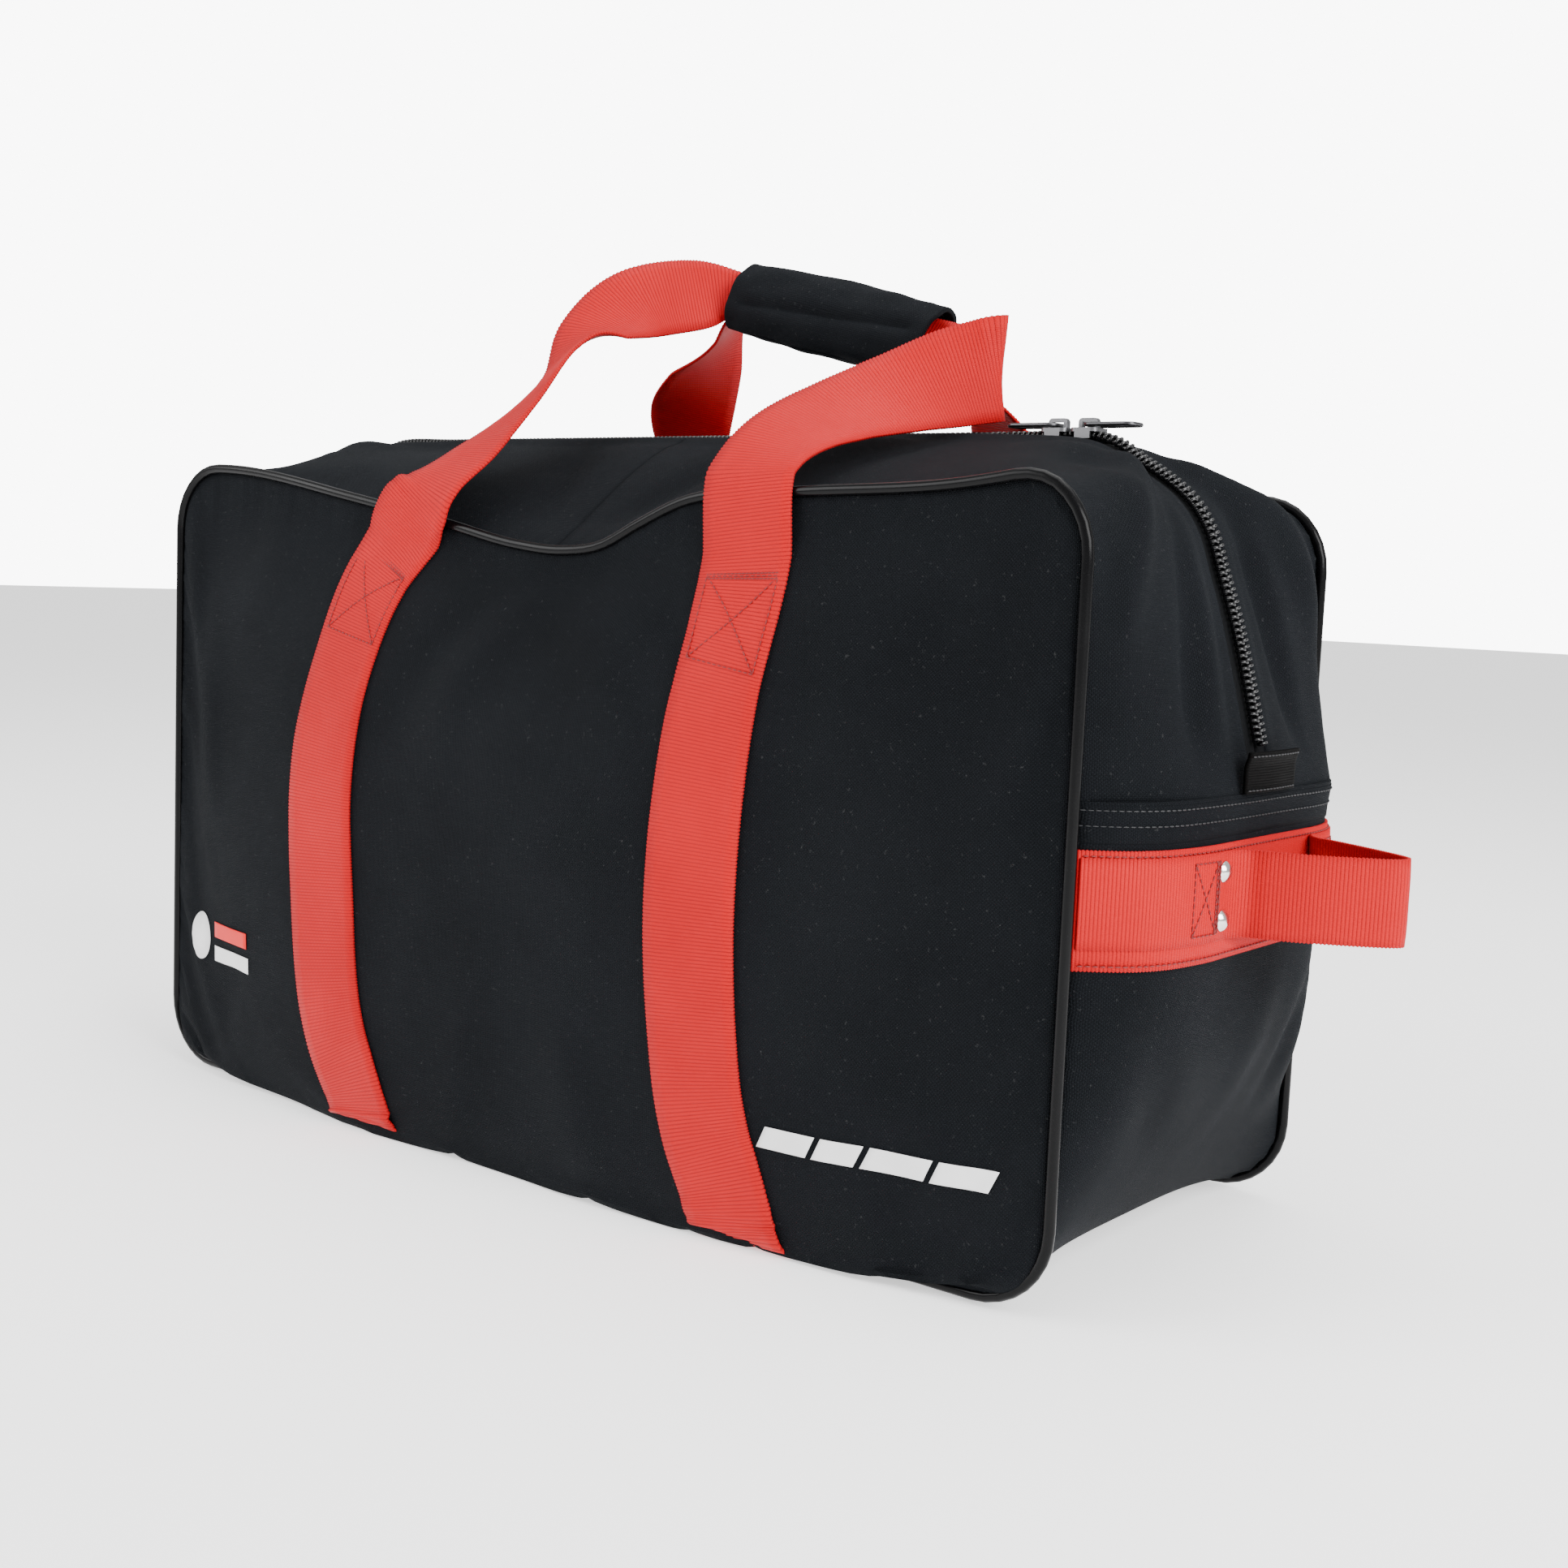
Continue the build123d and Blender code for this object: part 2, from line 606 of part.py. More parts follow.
os.makedirs("parts", exist_ok=True)
front_leaf, front_closure = grip_parts(1)
back_leaf, back_closure = grip_parts(-1)
top_end = front_top_right_end()
tape_end, coil_end = zip_tape_end(), zip_coil_end()
right_slider_x = left_slider_x + slider_pitch
pieces = {
    "front_panel": front_panel(),
    "back_panel": other_side(front_panel()),
    "lower_gusset": lower_gusset(),
    "base_board": base_board(),
    "front_piping": front_piping(),
    "back_piping": other_side(front_piping()),
    "front_seam_binding": front_binding(),
    "back_seam_binding": other_side(front_binding()),
    "front_top_right_end": top_end,
    "front_top_left_end": other_end(top_end),
    "back_top_right_end": other_side(top_end),
    "back_top_left_end": other_side(other_end(top_end)),
    "front_top_gusset": front_top_gusset(),
    "back_top_gusset": other_side(front_top_gusset()),
    "front_zip_tape": front_zip_tape(),
    "back_zip_tape": other_side(front_zip_tape()),
    "front_zip_coil": front_zip_coil(),
    "back_zip_coil": other_side(front_zip_coil()),
    "right_zip_tape_end": tape_end,
    "left_zip_tape_end": [other_end(piece) for piece in tape_end],
    "right_zip_coil_end": coil_end,
    "left_zip_coil_end": [other_end(piece) for piece in coil_end],
    "right_zip_tab": zip_tab(),
    "left_zip_tab": other_end(zip_tab()),
    "left_zip_slider": zip_slider(left_slider_x),
    "right_zip_slider": zip_slider(right_slider_x),
    "left_zip_pull": zip_pull(left_slider_x, -1),
    "right_zip_pull": zip_pull(right_slider_x, 1),
    "left_body_strap": body_strap(-strap_x, front_left_x, back_left_x),
    "right_body_strap": body_strap(strap_x, right_x, right_x),
    "front_handle_web": front_handle_web(),
    "back_handle_web": back_handle_web(),
    "front_grip_leaf": front_leaf,
    "back_grip_leaf": back_leaf,
    "grip_hook_strip": front_closure,
    "grip_loop_strip": back_closure,
    "right_base_web": base_web(),
    "left_base_web": other_end(base_web()),
    "right_grab_feet": grab_feet(),
    "left_grab_feet": [other_end(foot) for foot in grab_feet()],
    "right_grab_loop": grab_loop(),
    "left_grab_loop": other_end(grab_loop()),
    "right_rivets": rivets(),
    "left_rivets": [other_end(rivet) for rivet in rivets()],
    "right_burrs": burrs(),
    "left_burrs": [other_end(burr) for burr in burrs()],
}
for name, shape in pieces.items():
    write(name, shape)
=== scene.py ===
import math
import bmesh
import bpy
import numpy as np
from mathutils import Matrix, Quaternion, Vector, noise
from mathutils.bvhtree import BVHTree


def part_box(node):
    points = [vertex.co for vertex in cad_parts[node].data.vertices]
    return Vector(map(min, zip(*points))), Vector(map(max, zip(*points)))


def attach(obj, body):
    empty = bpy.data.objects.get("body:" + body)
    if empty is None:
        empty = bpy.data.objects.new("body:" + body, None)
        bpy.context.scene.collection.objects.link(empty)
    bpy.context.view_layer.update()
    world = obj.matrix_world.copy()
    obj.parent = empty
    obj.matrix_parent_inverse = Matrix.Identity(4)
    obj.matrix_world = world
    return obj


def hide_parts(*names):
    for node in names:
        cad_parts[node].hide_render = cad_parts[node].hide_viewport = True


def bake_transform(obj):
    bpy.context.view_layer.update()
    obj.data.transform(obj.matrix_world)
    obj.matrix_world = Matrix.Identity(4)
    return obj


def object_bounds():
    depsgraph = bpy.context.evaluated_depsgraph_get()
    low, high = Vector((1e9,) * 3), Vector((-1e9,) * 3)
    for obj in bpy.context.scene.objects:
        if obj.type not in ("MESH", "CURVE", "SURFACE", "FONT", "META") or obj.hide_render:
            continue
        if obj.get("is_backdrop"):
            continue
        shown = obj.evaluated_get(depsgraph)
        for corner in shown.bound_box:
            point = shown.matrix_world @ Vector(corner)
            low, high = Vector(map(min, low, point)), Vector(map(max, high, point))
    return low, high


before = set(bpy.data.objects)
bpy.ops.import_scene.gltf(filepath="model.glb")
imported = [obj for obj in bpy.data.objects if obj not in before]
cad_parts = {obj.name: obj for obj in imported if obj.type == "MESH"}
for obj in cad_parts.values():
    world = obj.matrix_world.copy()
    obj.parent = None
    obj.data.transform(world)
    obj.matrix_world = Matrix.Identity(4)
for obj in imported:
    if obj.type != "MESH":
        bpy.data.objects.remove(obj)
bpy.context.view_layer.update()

# Studio: a pale floor, a white surround and three large soft lamps. The camera stands in front of
# the bag's right-hand corner, a little above the lap seam, and is held slightly out of level.
scene = bpy.context.scene
azimuth, elevation, roll = (math.radians(angle) for angle in (37.89, 6.16, 2.38))
away = Vector((math.sin(azimuth) * math.cos(elevation), -math.cos(azimuth) * math.cos(elevation),
               math.sin(elevation)))
camera_data = bpy.data.cameras.new("camera")
camera_data.lens = 44.86
camera = bpy.data.objects.new("camera", camera_data)
scene.collection.objects.link(camera)
camera.location = (0.6921, -0.8078, 0.3071)
camera.rotation_mode = "QUATERNION"
camera.rotation_quaternion = (-away).to_track_quat("-Z", "Y") @ Quaternion((0, 0, 1), roll)
scene.camera = camera

world = bpy.data.worlds.new("studio")
world.use_nodes = True
surround = world.node_tree.nodes["Background"]
surround.inputs["Color"].default_value = (1.0, 1.0, 1.0, 1.0)
backdrop = world.node_tree.nodes.new("ShaderNodeBackground")
backdrop.inputs["Color"].default_value = (1.0, 1.0, 1.0, 1.0)
surround.inputs["Strength"].default_value = 0.75
backdrop.inputs["Strength"].default_value = 9.0
seen = world.node_tree.nodes.new("ShaderNodeLightPath")
choice = world.node_tree.nodes.new("ShaderNodeMixShader")
world.node_tree.links.new(seen.outputs["Is Camera Ray"], choice.inputs[0])
world.node_tree.links.new(surround.outputs[0], choice.inputs[1])
world.node_tree.links.new(backdrop.outputs[0], choice.inputs[2])
world.node_tree.links.new(choice.outputs[0], world.node_tree.nodes["World Output"].inputs["Surface"])
scene.world = world

for name, place, size, power in (
    ("lamp_left", (-1.5, -1.7, 1.5), 1.6, 55.0),
    ("lamp_right", (2.1, -0.5, 1.3), 1.4, 85.0),
    ("lamp_above", (0.2, 0.3, 2.2), 1.8, 40.0),
):
    lamp_data = bpy.data.lights.new(name, "AREA")
    lamp_data.size = size
    lamp_data.energy = power
    lamp = bpy.data.objects.new(name, lamp_data)
    scene.collection.objects.link(lamp)
    lamp.location = place
    lamp.rotation_mode = "QUATERNION"
    lamp.rotation_quaternion = (Vector((0.0, 0.0, 0.18)) - Vector(place)).to_track_quat("-Z", "Y")


def add_object(name, bm, material, smooth=True):
    """The bmesh as a named object with its material."""
    mesh = bpy.data.meshes.new(name)
    for face in bm.faces:
        face.smooth = smooth
    bm.to_mesh(mesh)
    bm.free()
    mesh.materials.append(material)
    made = bpy.data.objects.new(name, mesh)
    scene.collection.objects.link(made)
    return made


def new_material(name, colour, roughness):
    material = bpy.data.materials.new(name)
    material.use_nodes = True
    shader = material.node_tree.nodes["Principled BSDF"]
    shader.inputs["Base Color"].default_value = (*colour, 1.0)
    shader.inputs["Roughness"].default_value = roughness
    return material, material.node_tree, shader


floor_material, _, floor_shader = new_material("pale_floor", (0.95, 0.95, 0.95), 0.7)
floor_shader.inputs["Emission Color"].default_value = (1.0, 1.0, 1.0, 1.0)
floor_shader.inputs["Emission Strength"].default_value = 0.9
bm = bmesh.new()
bmesh.ops.create_grid(bm, x_segments=1, y_segments=1, size=12.0)
floor = add_object("floor", bm, floor_material)
floor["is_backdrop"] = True


# Side panels: padded polyester canvas over foam, cut as rounded rectangles and sewn into a piped
# seam. The cloth stands out in the middle, and the front top edge has slumped between the handles.
piping_low, piping_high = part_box("front_piping")
half_length = piping_high.x
seam_bottom, seam_top = piping_low.z, piping_high.z
corner = 0.038
seam_y = 0.1140
belly = 0.0365
# Canvas colours: the yarns' own black, and a lighter colour that paints a sheen on the yarns lying on top
# and also colours the rub marks.
canvas_black = (0.0016, 0.0020, 0.0027)
canvas_worn_and_sheen = (0.0085, 0.0100, 0.0125)
front_slump = [(-0.285, 0.0), (-0.250, 0.001), (-0.146, 0.016), (-0.075, 0.028), (-0.020, 0.038),
               (0.010, 0.040), (0.036, 0.037), (0.061, 0.026), (0.086, 0.016), (0.146, 0.011),
               (0.243, 0.006), (0.285, 0.0)]
back_slump = [(-0.290, 0.0), (-0.245, -0.012), (-0.185, -0.024), (-0.110, -0.008), (-0.030, 0.010),
              (0.080, 0.014), (0.200, 0.004), (0.285, 0.0)]


def through(points, at):
    """Smooth curve through (place, value) points, read at one place."""
    places = [point[0] for point in points]
    values = [point[1] for point in points]
    if at <= places[0]:
        return values[0]
    if at >= places[-1]:
        return values[-1]
    slopes = np.gradient(values, places)
    first = max(i for i, place in enumerate(places) if place <= at)
    gap = places[first + 1] - places[first]
    t = (at - places[first]) / gap
    rise = values[first + 1] - values[first]
    bend_in = slopes[first] * gap - rise
    bend_out = rise - slopes[first + 1] * gap
    return values[first] + t * rise + t * (1 - t) * ((1 - t) * bend_in + t * bend_out)


def ease(low, high, at):
    t = min(max((at - low) / (high - low), 0.0), 1.0)
    return t * t * (3 - 2 * t)


def slumped(side, x, z):
    """Height of a point of the side panel's outline or face once the top edge has slumped."""
    slump = through(front_slump if side < 0 else back_slump, x)
    return z - slump * ease(0.20, seam_top, z) ** 1.5


def rounded(a, b, inset):
    """A point of the square -1..1 moved onto the panel's rounded rectangle, in X and Z."""
    wide, tall = half_length - inset, (seam_top - seam_bottom) / 2 - inset
    round_off = corner - inset
    x, z = a * wide, b * tall
    over_x, over_z = abs(x) - (wide - round_off), abs(z) - (tall - round_off)
    if over_x > 0 and over_z > 0:
        longest = max(over_x, over_z)
        scale = longest / math.hypot(over_x, over_z)
        x = math.copysign(wide - round_off + over_x * scale, x)
        z = math.copysign(tall - round_off + over_z * scale, z)
    return x, z + (seam_top + seam_bottom) / 2


def fold(x, z, start, end, width, height):
    """Height of one soft fold that runs from start to end and fades at both."""
    sx, sz = start
    ex, ez = end
    run = math.hypot(ex - sx, ez - sz)
    along = ((x - sx) * (ex - sx) + (z - sz) * (ez - sz)) / run / run
    aside = ((x - sx) * (ez - sz) - (z - sz) * (ex - sx)) / run
    fade = ease(-0.25, 0.35, along) * (1 - ease(0.55, 1.25, along))
    return height * fade * math.exp(-(aside / width) ** 2)


front_folds = (
    ((0.000, 0.330), (-0.055, 0.215), 0.016, 0.0045),
    ((-0.030, 0.325), (-0.100, 0.205), 0.013, -0.0040),
    ((0.035, 0.325), (0.075, 0.225), 0.018, 0.0040),
    ((0.065, 0.340), (0.115, 0.250), 0.011, -0.0028),
    ((-0.185, 0.345), (-0.235, 0.255), 0.020, 0.0030),
    ((-0.268, 0.300), (-0.255, 0.130), 0.014, 0.0030),
    ((0.175, 0.340), (0.205, 0.225), 0.022, 0.0028),
    ((0.252, 0.335), (0.215, 0.270), 0.012, -0.0022),
    ((-0.262, 0.030), (-0.215, 0.085), 0.012, -0.0026),
    ((0.262, 0.030), (0.205, 0.090), 0.014, -0.0026),
    ((0.070, 0.018), (0.030, 0.120), 0.018, 0.0026),
    ((-0.045, 0.018), (-0.010, 0.110), 0.016, 0.0024),
)
back_folds = tuple(((-sx, sz), (-ex, ez), width, height * 0.9)
                   for (sx, sz), (ex, ez), width, height in front_folds[2:])


def panel_depth(side, x, z):
    """How far a side panel stands out at this place of its flat shape."""
    across = abs(x) / half_length
    up = 2 * (z - seam_bottom) / (seam_top - seam_bottom) - 0.90
    tall = max(1 - (up / 1.10) ** 2.1, 0.0) if up > 0 else max(1 - (-up / 0.90) ** 7, 0.0)
    crown = max(1 - across ** 3.6, 0.0) * tall
    depth = belly * crown ** 0.86
    for start, end, width, height in (front_folds if side < 0 else back_folds):
        depth += fold(x, z, start, end, width, height) * min(crown * 3, 1.0)
    waves = noise.noise(Vector((x * 9, z * 11, side * 3.1)))
    return depth + 0.0028 * waves * min(crown * 2.5, 1.0)


def cloth_grid(columns, rows, place):
    """A grid of cloth laid by place(a, b), which gives a point and its UV in metres."""
    bm = bmesh.new()
    bmesh.ops.create_grid(bm, x_segments=columns, y_segments=rows, size=1.0)
    uv = bm.loops.layers.uv.new("weave")
    for vertex in bm.verts:
        a, b = vertex.co.x, vertex.co.y
        point, flat = place(a, b)
        vertex.co = point
        for loop in vertex.link_loops:
            loop[uv].uv = flat
    return bm


def add_modifier(piece, name, kind, **values):
    made = piece.modifiers.new(name, kind)
    for key, value in values.items():
        setattr(made, key, value)
    return made


def settle(piece, held, pressure, slack, frames, most):
    """Cloth simulation of one piece with its sewn edge held, applied to its mesh."""
    start = [vertex.co.copy() for vertex in piece.data.vertices]
    sewn = piece.vertex_groups.new(name="sewn")
    sewn.add(held, 1.0, "REPLACE")
    cloth = piece.modifiers.new("settle", "CLOTH")
    cloth.settings.quality = 5
    cloth.settings.mass = 0.25
    cloth.settings.tension_stiffness = 25
    cloth.settings.compression_stiffness = 25
    cloth.settings.bending_stiffness = 3
    cloth.settings.vertex_group_mass = "sewn"
    cloth.settings.use_pressure = True
    cloth.settings.uniform_pressure_force = pressure
    cloth.settings.shrink_min = -slack
    cloth.settings.effector_weights.gravity = 0.4
    cloth.point_cache.frame_end = frames
    for frame_number in range(1, frames + 1):
        scene.frame_set(frame_number)
    shaped = piece.evaluated_get(bpy.context.evaluated_depsgraph_get())
    ends = [vertex.co.copy() for vertex in shaped.data.vertices]
    piece.modifiers.remove(cloth)
    scene.frame_set(1)
    for vertex, before, after in zip(piece.data.vertices, start, ends):
        step = after - before
        length = step.length
        if length > 0:
            vertex.co = before + step * (most * math.tanh(length / most) / length)


def add_math(tree, operation, *values):
    """A Math node fed by sockets or plain numbers; gives its result."""
    made = tree.nodes.new("ShaderNodeMath")
    made.operation = operation
    for socket, value in zip(made.inputs, values):
        if isinstance(value, (int, float)):
            socket.default_value = value
        else:
            tree.links.new(value, socket)
    return made.outputs[0]


def open_group(name, inputs, outputs):
    """An empty node group with its named inputs and outputs."""
    group = bpy.data.node_groups.new(name, "ShaderNodeTree")
    for label, kind in inputs:
        group.interface.new_socket(label, in_out="INPUT", socket_type=kind)
    for label, kind in outputs:
        group.interface.new_socket(label, in_out="OUTPUT", socket_type=kind)
    return group, group.nodes.new("NodeGroupInput").outputs, group.nodes.new("NodeGroupOutput").inputs


VECTOR, NUMBER = "NodeSocketVector", "NodeSocketFloat"


def build_weave():
    """Plain weave: yarns over and under each other, with uneven yarns and lint."""
    group, given, wanted = open_group("plain_weave", [("Place", VECTOR), ("Pitch", NUMBER)],
                                      [("Height", NUMBER), ("Over", NUMBER), ("Slub", NUMBER)])
    split = group.nodes.new("ShaderNodeSeparateXYZ")
    group.links.new(given["Place"], split.inputs[0])
    turns = [add_math(group, "DIVIDE", split.outputs[axis], given["Pitch"]) for axis in (0, 1)]
    waves = [add_math(group, "SINE", add_math(group, "MULTIPLY", turn, math.pi)) for turn in turns]
    crossing = add_math(group, "MULTIPLY", *waves)
    height = add_math(group, "POWER", add_math(group, "ABSOLUTE", crossing), 0.6)
    over = add_math(group, "ADD", add_math(group, "MULTIPLY", crossing, 0.5), 0.5)
    slubs = []
    for stretch in ((0.06, 1.1), (1.1, 0.06)):
        joined = group.nodes.new("ShaderNodeCombineXYZ")
        for index in (0, 1):
            group.links.new(add_math(group, "MULTIPLY", turns[index], stretch[index]),
                            joined.inputs[index])
        grain = group.nodes.new("ShaderNodeTexNoise")
        grain.inputs["Scale"].default_value = 1.0
        grain.inputs["Detail"].default_value = 1.0
        group.links.new(joined.outputs[0], grain.inputs["Vector"])
        slubs.append(grain.outputs[0])
    slub = add_math(group, "MULTIPLY", add_math(group, "ADD", *slubs), 0.5)
    uneven = add_math(group, "MULTIPLY", height, add_math(group, "ADD", slub, 0.5))
    group.links.new(uneven, wanted["Height"])
    group.links.new(over, wanted["Over"])
    group.links.new(slub, wanted["Slub"])
    return group


def build_handling():
    """Faint rub marks and dust that gather in soft patches."""
    group, given, wanted = open_group("handling", [("Place", VECTOR), ("Size", NUMBER)],
                                      [("Rub", NUMBER), ("Dust", NUMBER)])
    broad = group.nodes.new("ShaderNodeTexNoise")
    broad.inputs["Detail"].default_value = 5.0
    broad.inputs["Roughness"].default_value = 0.6
    group.links.new(given["Place"], broad.inputs["Vector"])
    group.links.new(given["Size"], broad.inputs["Scale"])
    specks = group.nodes.new("ShaderNodeTexNoise")
    specks.inputs["Detail"].default_value = 2.0
    group.links.new(given["Place"], specks.inputs["Vector"])
    group.links.new(add_math(group, "MULTIPLY", given["Size"], 60.0), specks.inputs["Scale"])
    rub = group.nodes.new("ShaderNodeMapRange")
    rub.inputs["From Min"].default_value = 0.35
    rub.inputs["From Max"].default_value = 0.75
    group.links.new(broad.outputs[0], rub.inputs["Value"])
    dust = group.nodes.new("ShaderNodeMapRange")
    dust.inputs["From Min"].default_value = 0.66
    dust.inputs["From Max"].default_value = 0.80
    group.links.new(specks.outputs[0], dust.inputs["Value"])
    group.links.new(rub.outputs[0], wanted["Rub"])
    group.links.new(dust.outputs[0], wanted["Dust"])
    return group


weave_group = build_weave()
handling_group = build_handling()


def place_group(tree, group, place, **values):
    made = tree.nodes.new("ShaderNodeGroup")
    made.node_tree = group
    tree.links.new(place, made.inputs["Place"])
    for label, value in values.items():
        made.inputs[label].default_value = value
    return made.outputs


def piece_uv(tree):
    made = tree.nodes.new("ShaderNodeUVMap")
    made.uv_map = "weave"
    return made.outputs["UV"]


def object_place(tree):
    return tree.nodes.new("ShaderNodeTexCoord").outputs["Object"]


def mix_colour(tree, share, first, second, blend="MIX"):
    """A colour mix; share, first and second are sockets, numbers or colours."""
    made = tree.nodes.new("ShaderNodeMix")
    made.data_type = "RGBA"
    made.blend_type = blend
    for socket, value in ((made.inputs[0], share), (made.inputs[6], first), (made.inputs[7], second)):
        if isinstance(value, (int, float)):
            socket.default_value = value
        elif isinstance(value, tuple):
            socket.default_value = (*value, 1.0)
        else:
            tree.links.new(value, socket)
    return made.outputs[2]


def add_bump(tree, shader, height, depth, strength=1.0):
    made = tree.nodes.new("ShaderNodeBump")
    made.inputs["Distance"].default_value = depth
    made.inputs["Strength"].default_value = strength
    tree.links.new(height, made.inputs["Height"])
    tree.links.new(made.outputs[0], shader.inputs["Normal"])


def canvas(name, dark, light, pitch, depth):
    """Plain-woven polyester canvas, matt with a faint bloom along the yarns. The yarns that lie on top are
    painted lighter: a painted sheen.
    """
    material, tree, shader = new_material(name, dark, 0.8)
    uv = piece_uv(tree)
    weave = place_group(tree, weave_group, uv, Pitch=pitch)
    handling = place_group(tree, handling_group, object_place(tree), Size=9.0)
    # The yarns that lie on top are painted lighter, in step with their slubs: painted sheen over real
    # uneven yarns.
    share = add_math(tree, "MULTIPLY", weave["Over"], weave["Slub"])
    cloth_colour = mix_colour(tree, share, dark, light)
    rubbed = mix_colour(tree, add_math(tree, "MULTIPLY", handling["Rub"], 0.35), cloth_colour, light)
    dusty = mix_colour(tree, add_math(tree, "MULTIPLY", handling["Dust"], 0.16), rubbed,
                       (0.12, 0.12, 0.12))
    tree.links.new(dusty, shader.inputs["Base Color"])
    rough = add_math(tree, "SUBTRACT", 0.86, add_math(tree, "MULTIPLY", handling["Rub"], 0.12))
    tree.links.new(rough, shader.inputs["Roughness"])
    shader.inputs["Specular IOR Level"].default_value = 0.07
    shader.inputs["Sheen Weight"].default_value = 0.012
    shader.inputs["Sheen Roughness"].default_value = 0.45
    shader.inputs["Sheen Tint"].default_value = (0.55, 0.66, 0.82, 1.0)
    add_bump(tree, shader, weave["Height"], depth, 0.8)
    return material


bag_canvas = canvas("bag_canvas", canvas_black, canvas_worn_and_sheen, 0.00080, 0.00042)
panel_faces = {}
for side, name in ((-1, "front"), (1, "back")):
    def place_panel(a, b, side=side):
        x, z = rounded(a * side, b, 0.0040)
        y = side * (seam_y + panel_depth(side, x, z))
        droop = 0.0165 * ease(seam_bottom + 0.004, 0.024, z) * (1 - ease(0.034, 0.110, z))
        droop *= max(1 - (abs(x) / half_length) ** 7, 0.0)
        return Vector((x, y, slumped(side, x, z) - droop)), (x, z)

    bm = cloth_grid(128, 76, place_panel)
    bmesh.ops.reverse_faces(bm, faces=bm.faces[:])
    rim = [vertex.index for vertex in bm.verts if vertex.is_boundary]
    panel = add_object(name + "_panel_canvas", bm, bag_canvas)
    settle(panel, rim, 1.2, 0.012, 18, 0.006)
    panel_faces[side] = BVHTree.FromPolygons([vertex.co for vertex in panel.data.vertices],
                                             [face.vertices for face in panel.data.polygons])
    add_modifier(panel, "padding", "SOLIDIFY", thickness=0.003, offset=-1.0)
    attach(panel, "bag")
    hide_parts(name + "_panel")


def on_panel(side, x, z, lift):
    """A point over a side panel's face, lifted off it; past the rim it keeps to the seam."""
    start = Vector((x, side * 0.4, z))
    hit = panel_faces[side].ray_cast(start, Vector((0, -side, 0)))[0]
    y = abs(hit.y) if hit else seam_y
    return Vector((x, side * (y + lift), z))


# Piping: a soft vinyl cord in a folded strip, sewn between each side panel and the gusset. It
# goes all the way round and follows the slumped top edge.
piping_radius = (piping_high.y - piping_low.y) / 2
piping_y = -(piping_high.y + piping_low.y) / 2


def rim_line(side, inset, step=0.006):
    """Points in X and Z round a side panel's seam, anticlockwise from the front."""
    wide, low, high = half_length - inset, seam_bottom + inset, seam_top - inset
    turn = corner - inset
    line = []
    for cx, cz, start in ((wide - turn, low + turn, -90), (wide - turn, high - turn, 0),
                          (turn - wide, high - turn, 90), (turn - wide, low + turn, 180)):
        for index in range(9):
            angle = math.radians(start + 90 * index / 8)
            line.append((cx + turn * math.cos(angle), cz + turn * math.sin(angle)))
    even = []
    for (ax, az), (bx, bz) in zip(line, line[1:] + line[:1]):
        pieces = max(1, round(math.hypot(bx - ax, bz - az) / step))
        for index in range(pieces):
            t = index / pieces
            even.append((ax + t * (bx - ax), az + t * (bz - az)))
    return [(x, slumped(side, x, z)) for x, z in even]


def vinyl():
    material, tree, shader = new_material("piping_vinyl", (0.003, 0.003, 0.0033), 0.30)
    handling = place_group(tree, handling_group, object_place(tree), Size=22.0)
    rough = add_math(tree, "ADD", 0.18, add_math(tree, "MULTIPLY", handling["Rub"], 0.14))
    tree.links.new(rough, shader.inputs["Roughness"])
    dusty = mix_colour(tree, add_math(tree, "MULTIPLY", handling["Dust"], 0.10),
                       (0.0020, 0.0020, 0.0023), (0.06, 0.06, 0.06))
    tree.links.new(dusty, shader.inputs["Base Color"])
    shader.inputs["Specular IOR Level"].default_value = 0.11
    grain = tree.nodes.new("ShaderNodeTexNoise")
    grain.inputs["Scale"].default_value = 900.0
    tree.links.new(object_place(tree), grain.inputs["Vector"])
    add_bump(tree, shader, grain.outputs[0], 0.00012, 0.2)
    return material


piping_vinyl = vinyl()
for side, name in ((-1, "front"), (1, "back")):
    cord_line = bpy.data.curves.new(name + "_piping_cord", "CURVE")
    cord_line.dimensions = "3D"
    cord_line.bevel_depth = piping_radius + 0.0002
    cord_line.bevel_resolution = 4
    run = rim_line(side, piping_radius)
    spline = cord_line.splines.new("POLY")
    spline.points.add(len(run) - 1)
    for point, (x, z) in zip(spline.points, run):
        point.co = (x, side * piping_y, z, 1.0)
    spline.use_cyclic_u = True
    cord_line.materials.append(piping_vinyl)
    piping = bpy.data.objects.new(name + "_piping_cord", cord_line)
    scene.collection.objects.link(piping)
    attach(piping, "bag")
    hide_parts(name + "_piping")

# Lower gusset: one strip of the same canvas that is the bottom and both ends up to the lap seam.
# It is eased into the piped seams, so it stands out between them and puckers beside them.
lap_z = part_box("lower_gusset")[1].z
end_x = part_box("lower_gusset")[1].x
gusset_y = 0.1128
seam_inset = 0.0042
pucker = 0.0006


def even_path(rows, step=None, count=None):
    """Catmull-Rom path through rows of numbers, evenly spaced along their first three."""
    rows = np.array(rows, float)
    padded = np.vstack([2 * rows[0] - rows[1], rows, 2 * rows[-1] - rows[-2]])
    dense = []
    for index in range(len(rows) - 1):
        p0, p1, p2, p3 = padded[index:index + 4]
        for t in np.linspace(0, 1, 30, endpoint=False):
            dense.append(0.5 * (2 * p1 + (p2 - p0) * t + (2 * p0 - 5 * p1 + 4 * p2 - p3) * t * t
                                + (3 * p1 - p0 - 3 * p2 + p3) * t ** 3))
    dense.append(rows[-1])
    dense = np.array(dense)
    steps = np.linalg.norm(np.diff(dense[:, :3], axis=0), axis=1)
    run = np.concatenate([[0.0], np.cumsum(steps)])
    count = count or max(2, round(run[-1] / step))
    even = np.linspace(0, run[-1], count + 1)
    return np.stack([np.interp(even, run, column) for column in dense.T], 1), even


